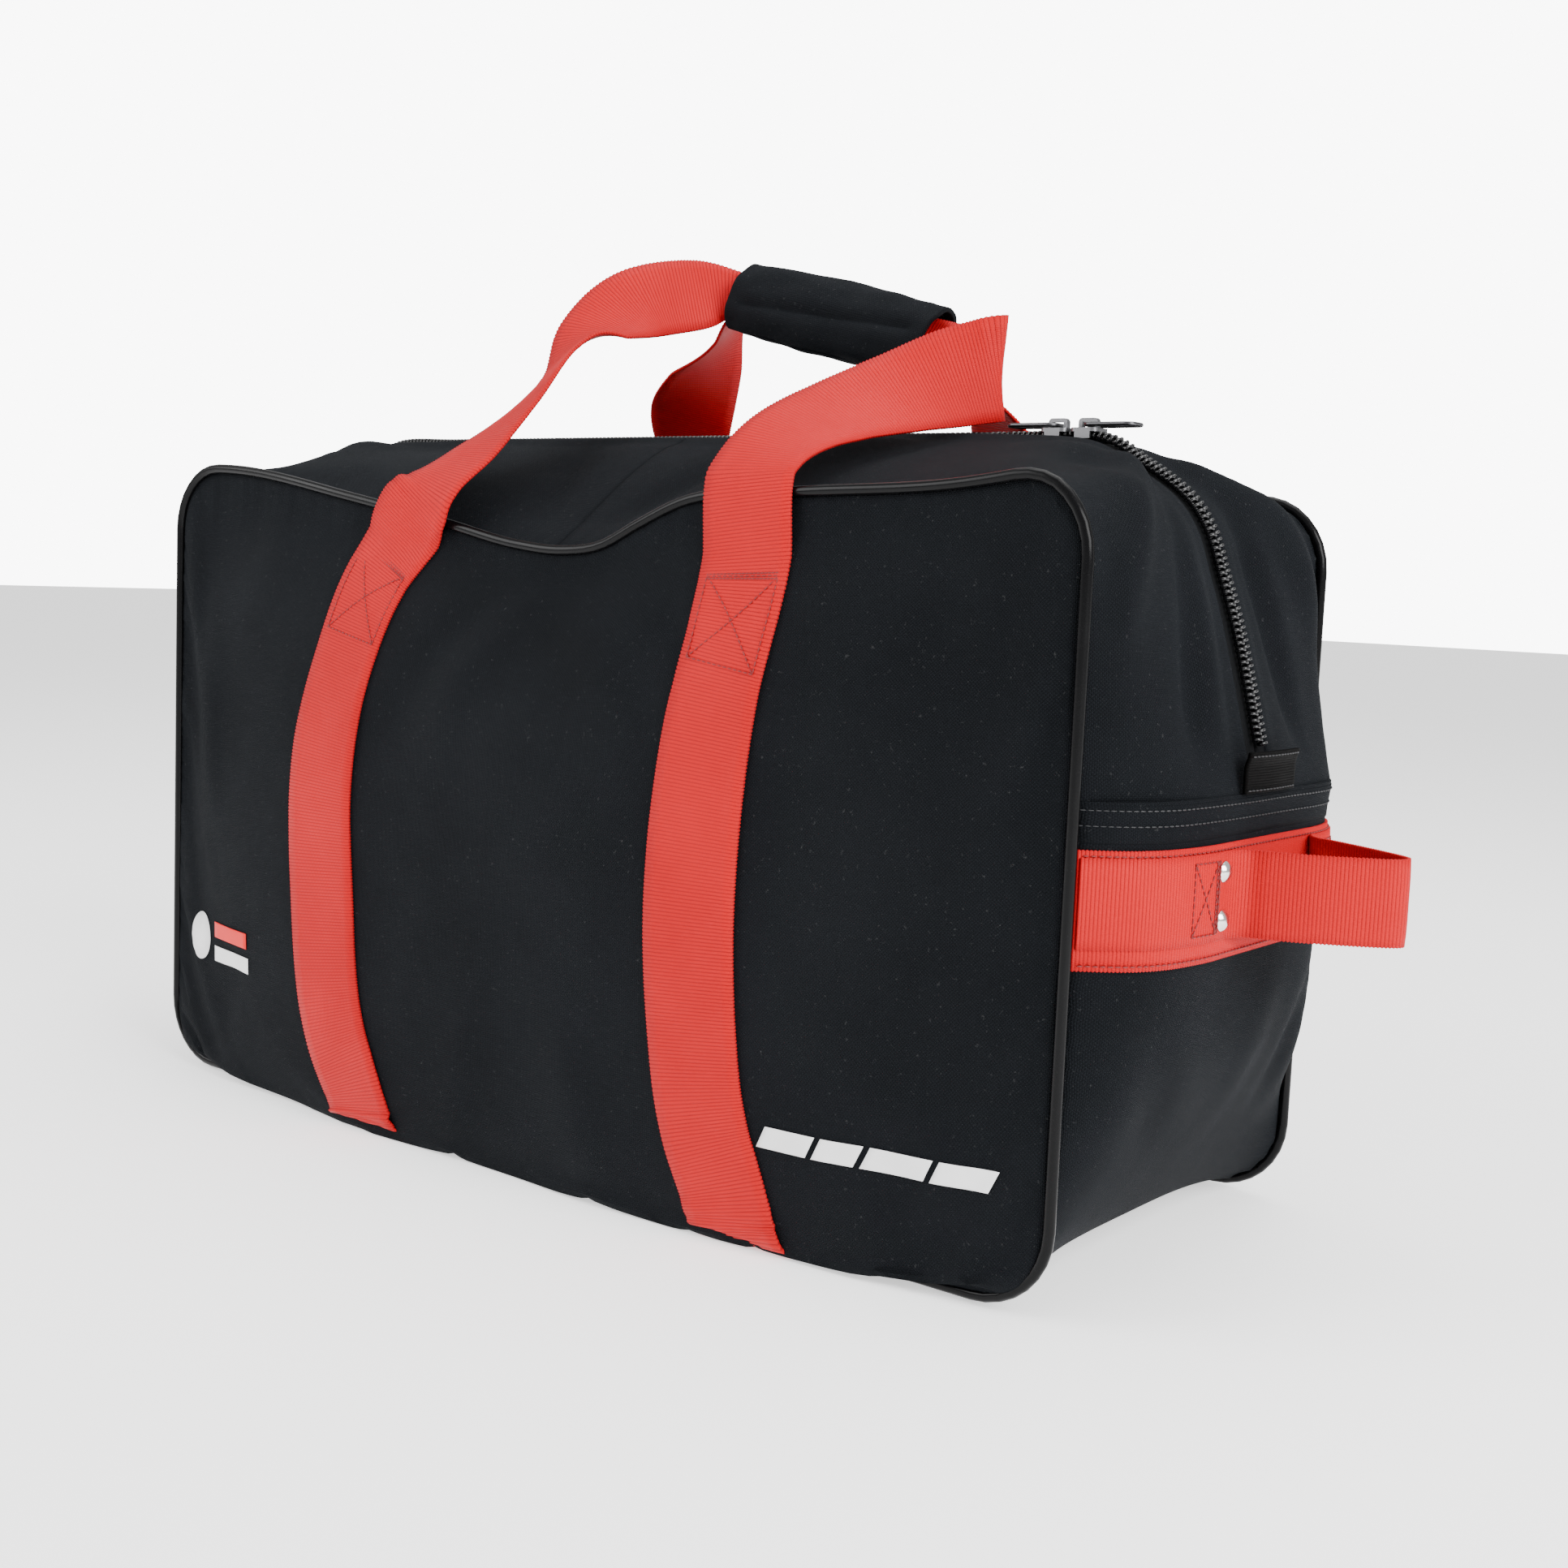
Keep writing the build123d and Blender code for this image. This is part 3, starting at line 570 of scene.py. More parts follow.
def lower_seam():
    """Seam line of the lower gusset from the lap seam down to the middle of the bottom."""
    x_end, low = half_length - seam_inset, seam_bottom + seam_inset
    turn = corner - seam_inset
    rows = [(x_end, 0, lap_z), (x_end, 0, 0.16), (x_end, 0, 0.10), (x_end, 0, low + turn)]
    for degrees in (22.5, 45, 67.5, 90):
        angle = math.radians(degrees)
        rows.append((x_end - turn * (1 - math.cos(angle)), 0, low + turn * (1 - math.sin(angle))))
    return rows + [(0.18, 0, low), (0.09, 0, low), (0.0, 0, low)]


lower_middle = [(end_x + 0.0004, 0, lap_z), (end_x - 0.0006, 0, 0.175), (end_x - 0.005, 0, 0.110),
                (end_x - 0.022, 0, 0.060), (end_x - 0.042, 0, 0.026), (end_x - 0.068, 0, 0.0075),
                (end_x - 0.100, 0, 0.0027), (0.12, 0, 0.0024), (0.0, 0, 0.0024)]
lower_rows = 150
seam_run = even_path(lower_seam(), count=lower_rows)[0]
middle_run, lower_length = even_path(lower_middle, count=lower_rows)


def read_run(run, share):
    """Point of an evenly spaced run at a share of its length."""
    at = share * (len(run) - 1)
    first = min(int(at), len(run) - 2)
    return Vector(run[first] + (at - first) * (run[first + 1] - run[first]))


def spread(seam, middle, y, power):
    """A point of a gusset: on the seam line at the piping and on the middle line at the zip."""
    share = 1 - min(abs(y) / gusset_y, 1.0) ** power
    point = seam + (middle - seam) * share
    return Vector((point.x, y, point.z))


def place_lower(a, b):
    share, y = 1 - abs(a), b * gusset_y
    hand = 1 if a >= 0 else -1
    seam, middle = read_run(seam_run, share), read_run(middle_run, share)
    point = spread(seam, middle, y, 5.5 - 3.0 * ease(0.25, 0.55, share))
    length = (1 - share) * lower_length[-1]
    edge = math.exp(-(gusset_y - abs(y)) / 0.010)
    ripple = pucker * math.sin(length * 410 + 2 * math.sin(length * 63)) * edge
    upright = 1 - ease(0.24, 0.36, share)
    wave = 0.0035 * noise.noise(Vector((y * 16, point.z * 13, hand * 2.3))) * upright
    diagonal = fold(y, point.z, (0.045, 0.020), (0.090, 0.150), 0.012, -0.006)
    diagonal += fold(y, point.z, (-0.030, 0.020), (-0.080, 0.120), 0.014, -0.004)
    diagonal += fold(y, point.z, (0.000, 0.040), (0.030, 0.140), 0.016, 0.003)
    calm = 1 - 0.85 * ease(0.120, 0.148, point.z) * (1 - ease(0.202, 0.230, point.z))
    back_swell = 0.004 * math.exp(-((y - 0.070) / 0.030) ** 2) * upright
    point.x += (wave + diagonal * upright) * calm * (1 - (abs(y) / gusset_y) ** 6) + ripple * upright
    point.x += back_swell * calm
    point.z = max(point.z + ripple * (1 - upright), 0.0022)
    return Vector((point.x * hand, y, point.z)), (length * hand, y)


bm = cloth_grid(2 * lower_rows, 56, place_lower)
bmesh.ops.reverse_faces(bm, faces=bm.faces[:])
gusset = add_object("lower_gusset_canvas", bm, bag_canvas)
add_modifier(gusset, "padding", "SOLIDIFY", thickness=0.0026, offset=-1.0)
gusset_faces = BVHTree.FromPolygons([vertex.co for vertex in gusset.data.vertices],
                                    [face.vertices for face in gusset.data.polygons])
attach(gusset, "bag")
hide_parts("lower_gusset")

# Top gusset: a strip of canvas on each side of the zip, from lap seam to lap seam. The cloth is
# folded under beside the zip. Each side is made in two halves that share the fold of the mouth.
zip_low, zip_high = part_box("front_zip_coil")
zip_edge = 0.0098
chain_z = zip_low.z
top_rows = 110
zip_side = [(0.0, 0, chain_z + 0.0018), (0.100, 0, chain_z + 0.0018), (0.190, 0, chain_z + 0.0014),
            (0.240, 0, chain_z), (0.262, 0, chain_z - 0.011), (0.284, 0, chain_z - 0.025),
            (0.296, 0, chain_z - 0.040), (0.303, 0, chain_z - 0.058), (0.311, 0, chain_z - 0.080),
            (0.319, 0, chain_z - 0.107), (0.326, 0, chain_z - 0.133), (end_x + 0.0004, 0, lap_z - 0.002)]
zip_run, top_length = even_path(zip_side, count=top_rows)


def top_seam(side, hand):
    """Seam line of the top gusset from the middle of the top down to the lap seam."""
    x_end, high = half_length - seam_inset, seam_top - seam_inset
    turn = corner - seam_inset
    flat = [(0.0, high), (0.05, high), (0.10, high), (0.15, high), (0.20, high), (0.24, high)]
    flat += [(x_end - turn * (1 - math.sin(math.radians(angle))),
              high - turn * (1 - math.cos(math.radians(angle)))) for angle in (0, 22.5, 45, 67.5, 90)]
    flat += [(x_end, 0.28), (x_end, 0.25), (x_end, lap_z - 0.002)]
    rows = [(x, 0, slumped(side, x * hand, z)) for x, z in flat]
    return even_path(rows, count=top_rows)[0]


top_folds = (
    (-0.020, 0.150, -0.095, 0.100, 0.014, 0.0050),
    (-0.030, 0.060, -0.100, 0.020, 0.012, -0.0045),
    (-0.018, 0.260, -0.070, 0.310, 0.010, 0.0070),
    (-0.030, 0.290, -0.052, 0.420, 0.009, -0.0065),
    (-0.060, 0.280, -0.095, 0.360, 0.011, 0.0058),
)


def place_top(a, b, side, hand):
    share = (a + 1) / 2
    y_size = zip_edge + (gusset_y - zip_edge) * (b + 1) / 2
    seam, middle = read_run(top_seams[side, hand], share), read_run(zip_run, share)
    point = spread(seam, middle, y_size, 1.7 + (2.3 if side < 0 else 5.0) * ease(0.5, 0.95, share))
    ahead = read_run(zip_run, min(share + 0.01, 1.0)) - read_run(zip_run, max(share - 0.01, 0.0))
    out = Vector((-ahead.z, 0, ahead.x)).normalized()
    length = share * top_length[-1]
    free = min((gusset_y - y_size) / 0.02, 1.0) * (1 - ease(0.90, 1.0, share))
    puff = 0.0045 * math.exp(-((y_size - 0.032) / 0.013) ** 2) * ease(0.45, 0.6, share) * (side < 0)
    puff += 0.005 * math.exp(-((y_size - 0.088) / 0.018) ** 2) * ease(0.5, 0.7, share) * (side > 0)
    for y0, s0, y1, s1, width, height in top_folds:
        puff += fold(-y_size, length, (y0, s0), (y1, s1), width, height)
    puff += 0.0055 * noise.noise(Vector((length * hand * 11 + side, y_size * 17, side * 1.7)))
    free *= 0.15 + 0.85 * ease(zip_edge, zip_edge + 0.022, y_size)
    lip = (0.0030 - 0.0018 * ease(0.4, 0.6, share)) * (
        math.exp(-((y_size - zip_edge - 0.004) / 0.005) ** 2)) * (1 - ease(0.9, 1.0, share))
    edge = math.exp(-(gusset_y - y_size) / 0.009)
    ripple = pucker * math.sin(length * 430 + hand * 2 + 2 * math.sin(length * 57)) * edge
    point += out * (puff * free + lip + ripple)
    return Vector((point.x * hand, side * y_size, point.z)), (length * hand, side * y_size)


top_seams = {(side, hand): top_seam(side, hand) for side in (-1, 1) for hand in (-1, 1)}
for side, side_name in ((-1, "front"), (1, "back")):
    for hand, hand_name in ((1, "right"), (-1, "left")):
        bm = cloth_grid(top_rows, 40, lambda a, b, s=side, h=hand: place_top(a, b, s, h))
        if side * hand < 0:
            bmesh.ops.reverse_faces(bm, faces=bm.faces[:])
        cloth = add_object(f"{side_name}_top_canvas_{hand_name}", bm, bag_canvas)
        add_modifier(cloth, "padding", "SOLIDIFY", thickness=0.0024, offset=-1.0)
        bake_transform(cloth)
        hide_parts(f"{side_name}_top_{hand_name}_end", side_name + "_top_gusset")

# Zip: a nylon coil sewn on a twill tape, one half on each side. The turns of the two coils pass
# between each other over the whole closed chain.
tape_y = 0.0125
coil_pitch = 0.0029
coil_rise = zip_high.z - zip_low.z
coil_lift = 0.0008
coil_yarn_radius = 0.00084
coil_turn_radius = 0.0017
coil_wide, coil_tall = 1.12, 0.98
coil_slant = 0.16
coil_middle_y = 0.0022


def build_twill():
    """Diagonal twill ribs."""
    group, given, wanted = open_group("twill", [("Place", VECTOR), ("Pitch", NUMBER)],
                                      [("Height", NUMBER)])
    split = group.nodes.new("ShaderNodeSeparateXYZ")
    group.links.new(given["Place"], split.inputs[0])
    slant = add_math(group, "ADD", split.outputs[0], split.outputs[1])
    turns = add_math(group, "DIVIDE", slant, given["Pitch"])
    wave = add_math(group, "ABSOLUTE", add_math(group, "SINE", add_math(group, "MULTIPLY", turns,
                                                                       math.pi)))
    group.links.new(wave, wanted["Height"])
    return group


twill_group = build_twill()


def twill_tape(name, dark, light, pitch):
    material, tree, shader = new_material(name, dark, 0.75)
    twill = place_group(tree, twill_group, piece_uv(tree), Pitch=pitch)
    handling = place_group(tree, handling_group, object_place(tree), Size=30.0)
    # The rib tops are painted lighter and the hollows between them darker: painted shade.
    colour = mix_colour(tree, add_math(tree, "MULTIPLY", twill["Height"], 0.7), dark, light)
    dusty = mix_colour(tree, add_math(tree, "MULTIPLY", handling["Dust"], 0.2), colour,
                       (0.12, 0.12, 0.12))
    tree.links.new(dusty, shader.inputs["Base Color"])
    shader.inputs["Specular IOR Level"].default_value = 0.06
    add_bump(tree, shader, twill["Height"], 0.00015)
    return material


def nylon():
    material, tree, shader = new_material("coil_nylon", (0.003, 0.003, 0.0035), 0.30)
    handling = place_group(tree, handling_group, object_place(tree), Size=40.0)
    tree.links.new(mix_colour(tree, handling["Rub"], (0.0025, 0.0025, 0.003), (0.008, 0.008, 0.009)),
                   shader.inputs["Base Color"])
    rough = add_math(tree, "ADD", 0.16, add_math(tree, "MULTIPLY", handling["Rub"], 0.15))
    shader.inputs["Specular IOR Level"].default_value = 0.5
    tree.links.new(rough, shader.inputs["Roughness"])
    grain = tree.nodes.new("ShaderNodeTexNoise")
    grain.inputs["Scale"].default_value = 1500.0
    tree.links.new(object_place(tree), grain.inputs["Vector"])
    add_bump(tree, shader, grain.outputs[0], 0.00006, 0.5)
    return material


zip_tape_cloth = twill_tape("zip_tape_twill", (0.0016, 0.0018, 0.0020), (0.0070, 0.0075, 0.0085), 0.0012)
coil_nylon = nylon()
chain_line = [(x, 0, z - lift) for (x, _, z), lift in
              zip(zip_side, (0.0018, 0.0018, 0.0014, 0.0002, 0.0, 0.0, 0.0, 0.0, 0.0, 0.0, 0.0, 0.0))]
chain_run, chain_length = even_path(chain_line, step=0.002)


def chain_place(at, lift):
    """Point at a length along the chain from the middle of the top, and its outward direction."""
    share = min(at / chain_length[-1], 1.0)
    point = read_run(chain_run, share)
    ahead = read_run(chain_run, min(share + 0.01, 1.0)) - read_run(chain_run, max(share - 0.01, 0.0))
    ahead = Vector((ahead.x, 0, ahead.z)).normalized()
    out = Vector((-ahead.z, 0, ahead.x))
    return point + out * lift, ahead, out


coil_ring = bmesh.new()
start = bmesh.ops.create_circle(coil_ring, segments=6, radius=coil_yarn_radius)["verts"]
bmesh.ops.translate(coil_ring, verts=start, vec=(coil_turn_radius, 0, 0))
bmesh.ops.spin(coil_ring, geom=start + coil_ring.edges[:], cent=(0, 0, 0), axis=(0, 1, 0),
               angle=2 * math.pi, steps=10, use_merge=True)
bmesh.ops.remove_doubles(coil_ring, verts=coil_ring.verts[:], dist=1e-6)
bmesh.ops.recalc_face_normals(coil_ring, faces=coil_ring.faces[:])
ring_mesh = bpy.data.meshes.new("coil_turn")
coil_ring.to_mesh(ring_mesh)
coil_ring.free()

for side, side_name in ((-1, "front"), (1, "back")):
    for hand, hand_name in ((1, "right"), (-1, "left")):
        def place_tape(a, b, side=side, hand=hand):
            length = (a + 1) / 2 * (chain_length[-1] - 0.001)
            y = 0.0006 + (b + 1) / 2 * (tape_y - 0.0006)
            point, _, _ = chain_place(length, -0.0002)
            return Vector((point.x * hand, side * y, point.z)), (length * hand, y)

        bm = cloth_grid(200, 5, place_tape)
        if side * hand < 0:
            bmesh.ops.reverse_faces(bm, faces=bm.faces[:])
        tape = add_object(f"{side_name}_tape_{hand_name}", bm, zip_tape_cloth)
        add_modifier(tape, "thickness", "SOLIDIFY", thickness=0.0009, offset=-1.0)

        bm = bmesh.new()
        turns = int((chain_length[-1] - 0.020) / coil_pitch)
        for index in range(turns):
            at = (index + (0.25 if side * hand < 0 else 0.75)) * coil_pitch
            centre, ahead, out = chain_place(at, coil_rise / 2 + coil_lift)
            ahead = Vector((ahead.x * hand, 0, ahead.z))
            out = Vector((out.x * hand, 0, out.z))
            across = Vector((0, side, 0))
            count = len(bm.verts)
            bm.from_mesh(ring_mesh)
            bm.verts.ensure_lookup_table()
            middle = Vector((centre.x * hand, side * coil_middle_y, centre.z))
            for vertex in bm.verts[count:]:
                x, y, z = vertex.co
                x, z = x * coil_wide, z * coil_tall
                vertex.co = middle + across * x + out * z + ahead * (y - coil_slant * x)
        if side * hand < 0:
            bmesh.ops.reverse_faces(bm, faces=bm.faces[:])
        coil = add_object(f"{side_name}_coil_{hand_name}", bm, coil_nylon)
        for piece, kind in ((tape, "tape"), (coil, "coil")):
            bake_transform(piece)
            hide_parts(f"{side_name}_zip_{kind}", f"{hand_name}_zip_{kind}_end")
bpy.data.meshes.remove(ring_mesh)

# Body straps and carrying handles: long lengths of ribbed polypropylene webbing that pass under the
# bag, are sewn to the side panels with a box and cross below the piping, and run on free above it
# as the handles. Each leg leans back over the top and is folded narrow inside the grip.
rib_pitch = 0.0017
web_thickness = 0.0016
box_top, box_low = 0.304, 0.264
web_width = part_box("right_base_web")[1].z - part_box("right_base_web")[0].z
strap_bow = {
    ("left", -1): [(0.0, -0.104), (0.02, -0.108), (0.06, -0.124), (0.12, -0.134), (0.18, -0.137),
                   (0.24, -0.130), (box_top, -0.112), (0.335, -0.092)],
    ("left", 1): [(0.0, -0.126), (0.06, -0.130), (0.16, -0.131), (0.24, -0.126), (box_top, -0.119),
                  (0.350, -0.112)],
    ("right", -1): [(0.0, 0.152), (0.02, 0.148), (0.06, 0.134), (0.12, 0.126), (0.18, 0.124),
                    (0.24, 0.127), (box_top, 0.133), (0.345, 0.128)],
    ("right", 1): [(0.0, 0.130), (0.06, 0.128), (0.16, 0.129), (0.24, 0.130), (box_top, 0.128),
                   (0.350, 0.125)],
}


def lay_webbing(path, width_cells=8, ribs=0.00013, scallop=0.00022):
    """A bmesh strip of ribbed webbing along a path from web_path, before its thickness."""
    rows, lengths = path
    count = len(rows) - 1
    tangents = np.gradient(rows[:, :3], axis=0)
    frames = []
    for row, tangent in zip(rows, tangents):
        tangent = Vector(tangent).normalized()
        across = Vector(row[3:6])
        across = (across - tangent * across.dot(tangent)).normalized()
        frames.append((Vector(row[:3]), across, tangent.cross(across), row[6]))
    path_frames = (frames, lengths)

    def place(a, b):
        index = round((b + 1) / 2 * count)
        centre, across, out, width = frames[index]
        sign = 1 if index % 2 else -1
        at = a * (width / 2 + (scallop * sign if abs(a) > 0.99 else 0))
        curl = -0.0004 * abs(a) ** 4
        return centre + across * at + out * (ribs * sign + curl), (a * width / 2, lengths[index])

    return cloth_grid(width_cells, count, place), path_frames


def web_path(stations):
    """Stations of (centre, direction across, width), smoothed to two rows a rib."""
    rows = [(*centre, *across, width) for centre, across, width in stations]
    return even_path(rows, step=rib_pitch / 2)


def build_ribs():
    """Crosswise ribs crossed by fine lengthwise yarns."""
    group, given, wanted = open_group("webbing_ribs", [("Place", VECTOR), ("Pitch", NUMBER)],
                                      [("Height", NUMBER), ("Groove", NUMBER), ("Yarn", NUMBER)])
    split = group.nodes.new("ShaderNodeSeparateXYZ")
    group.links.new(given["Place"], split.inputs[0])
    ribs = add_math(group, "DIVIDE", split.outputs[1], given["Pitch"])
    rib = add_math(group, "ABSOLUTE", add_math(group, "SINE", add_math(group, "MULTIPLY", ribs, math.pi)))
    yarns = add_math(group, "DIVIDE", split.outputs[0], add_math(group, "MULTIPLY", given["Pitch"], 0.55))
    shift = add_math(group, "MULTIPLY", add_math(group, "FLOOR", ribs), 0.5)
    yarn = add_math(group, "ABSOLUTE", add_math(group, "SINE", add_math(
        group, "MULTIPLY", add_math(group, "ADD", yarns, shift), math.pi)))
    height = add_math(group, "MULTIPLY", add_math(group, "POWER", rib, 0.5),
                      add_math(group, "ADD", 0.6, add_math(group, "MULTIPLY", yarn, 0.4)))
    group.links.new(height, wanted["Height"])
    group.links.new(add_math(group, "SUBTRACT", 1.0, rib), wanted["Groove"])
    group.links.new(yarn, wanted["Yarn"])
    return group


rib_group = build_ribs()


def webbing(name, bright, deep, pitch, rough, gloss, bloom):
    """Woven webbing whose grooves are painted darker than its ribs as painted shade, with a slight plastic
    sheen.
    """
    material, tree, shader = new_material(name, bright, rough)
    ribs = place_group(tree, rib_group, piece_uv(tree), Pitch=pitch)
    handling = place_group(tree, handling_group, object_place(tree), Size=14.0)
    # The grooves between the ribs are painted in the deep colour: painted shade. Rub marks darken towards
    # the same colour as wear.
    groove = add_math(tree, "MULTIPLY", add_math(tree, "POWER", ribs["Groove"], 2.0), 0.75)
    colour = mix_colour(tree, groove, bright, deep)
    worn = mix_colour(tree, add_math(tree, "MULTIPLY", handling["Rub"], 0.22), colour, deep)
    tree.links.new(worn, shader.inputs["Base Color"])
    uneven = add_math(tree, "ADD", rough - 0.06, add_math(tree, "MULTIPLY", handling["Rub"], 0.14))
    tree.links.new(uneven, shader.inputs["Roughness"])
    shader.inputs["Specular IOR Level"].default_value = gloss
    shader.inputs["Sheen Weight"].default_value = bloom
    add_bump(tree, shader, ribs["Height"], 0.00030, 0.8)
    return material


def thread(name, colour):
    material, tree, shader = new_material(name, colour, 0.6)
    twist = tree.nodes.new("ShaderNodeTexWave")
    twist.inputs["Scale"].default_value = 700.0
    tree.links.new(object_place(tree), twist.inputs["Vector"])
    tree.links.new(mix_colour(tree, twist.outputs["Fac"], colour, tuple(part * 0.6 for part in colour)),
                   shader.inputs["Base Color"])
    add_bump(tree, shader, twist.outputs["Fac"], 0.00005, 0.6)
    return material


red_webbing = webbing("red_webbing", (0.48, 0.0015, 0.0050), (0.17, 0.0004, 0.0010), rib_pitch, 0.55,
                      gloss=0.12, bloom=0.02)
bm = bmesh.new()
bmesh.ops.create_uvsphere(bm, u_segments=6, v_segments=4, radius=1.0)
dash_mesh = bpy.data.meshes.new("thread_dash")
bm.to_mesh(dash_mesh)
bm.free()
red_thread = thread("red_thread", (0.20, 0.001, 0.002))
black_thread = thread("black_thread", (0.012, 0.013, 0.015))


def finish_webbing(name, bm, material, body, nodes):
    """Gives the strip its thickness, and fixes it to its body when the body is a name; a strip whose body
    is a tuple is only baked in place.
    """
    web = add_object(name, bm, material)
    add_modifier(web, "thickness", "SOLIDIFY", thickness=web_thickness, offset=0.0)
    if isinstance(body, tuple):
        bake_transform(web)
    else:
        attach(web, body)
    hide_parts(*nodes)
    return web


def stitch(bm, points, radius=0.00042, pitch=0.0032):
    """Thread dashes along a line of (point, outward) pairs."""
    places = np.array([[*point, *out] for point, out in points], float)
    steps = np.linalg.norm(np.diff(places[:, :3], axis=0), axis=1)
    run = np.concatenate([[0.0], np.cumsum(steps)])
    for at in np.arange(pitch / 2, run[-1], pitch):
        rows = [[np.interp(end, run, column) for column in places.T]
                for end in (at - pitch * 0.30, at + pitch * 0.30)]
        first, last = (Vector(row[:3]) for row in rows)
        out = Vector(rows[0][3:]).normalized()
        along = (last - first).normalized()
        side = out.cross(along)
        half = (last - first).length / 2 + radius
        count = len(bm.verts)
        bm.from_mesh(dash_mesh)
        bm.verts.ensure_lookup_table()
        for vertex in bm.verts[count:]:
            x, y, z = vertex.co
            vertex.co = (first + last) / 2 + along * z * half + side * x * radius + out * y * radius


def on_web(path_frames, across, along, lift):
    """A point on a strip: this far from its middle line and along it, with its outward direction."""
    frames, lengths = path_frames
    at = min(max(along / lengths[-1], 0.0), 1.0) * (len(frames) - 1)
    first = min(int(at), len(frames) - 2)
    t = at - first
    (c0, a0, n0, _), (c1, a1, n1, _) = frames[first], frames[first + 1]
    out = n0.lerp(n1, t)
    return c0.lerp(c1, t) + a0.lerp(a1, t) * across + out * (web_thickness / 2 + lift), out


def web_line(path_frames, start, end, count=24):
    """Points of a straight seam on a strip, from (across, along) to (across, along)."""
    line = []
    for t in np.linspace(0, 1, count):
        line.append(on_web(path_frames, start[0] + t * (end[0] - start[0]),
                           start[1] + t * (end[1] - start[1]), 0.00018))
    return line


def box_and_cross(bm, path_frames, start, end, half):
    """A stitched box with both diagonals; its first line is sewn over twice."""
    corners = ((-half, start), (half, start), (half, end), (-half, end))
    for first, second in ((0, 1), (1, 2), (2, 3), (3, 0), (0, 2), (1, 3)):
        stitch(bm, web_line(path_frames, corners[first], corners[second]))
    for shift in (-0.0012, 0.0012):
        stitch(bm, web_line(path_frames, (-half, start + shift), (half, start + shift)),
               radius=0.00050, pitch=0.0021)


strap_lift = web_thickness / 2 + 0.0004
piping_out = piping_y + piping_radius + web_thickness / 2 + 0.0008
strap_heights = (0.0095, 0.0130, 0.018, 0.026, 0.037, 0.052, 0.072, 0.096, 0.122, 0.150, 0.178, 0.206,
                 0.232, 0.256, 0.278, 0.296, 0.312, 0.328, 0.342)
grip_start, grip_end = Vector((-0.025, 0.060, 0.461)), Vector((0.105, 0.060, 0.430))
grip_along = (grip_end - grip_start).normalized()
grip_out = Vector((0, -0.866, 0.5))
grip_out = (grip_out - grip_along * grip_out.dot(grip_along)).normalized()
grip_flat = grip_out.cross(grip_along)
folded_width = 0.026
handle_bend = 0.338, 0.368


def in_grip(along, out, sign):
    """Station of the folded webbing inside the grip, this far from its middle."""
    place = (grip_start + grip_end) / 2 + grip_along * along + grip_out * out
    return place, grip_flat * sign, folded_width


def panel_station(side, x, z):
    """A station of webbing that lies flat on a side panel."""
    half = web_width / 2
    left, middle, right = (on_panel(side, x + shift, z, strap_lift) for shift in (-half, 0.0, half))
    middle.y = side * max(abs(middle.y), abs(left.y + right.y) / 2)
    return middle, (right - left).normalized(), web_width


def keep_off(bm, faces, side, lift):
    """Pushes a strip out to lie on a side panel wherever the cloth stands proud of it."""
    for vertex in bm.verts:
        x, y, z = vertex.co
        rim_z = slumped(side, x, seam_top)
        if y * side < 0.10 or not 0.007 < z < rim_z:
            continue
        near = 1 - ease(rim_z - 0.016, rim_z - 0.003, z)
        hit = faces.ray_cast(Vector((x, side * 0.4, z)), Vector((0, -side, 0)))[0]
        if hit and abs(hit.y) + lift > abs(y):
            vertex.co.y += side * (abs(hit.y) + lift - abs(y)) * near


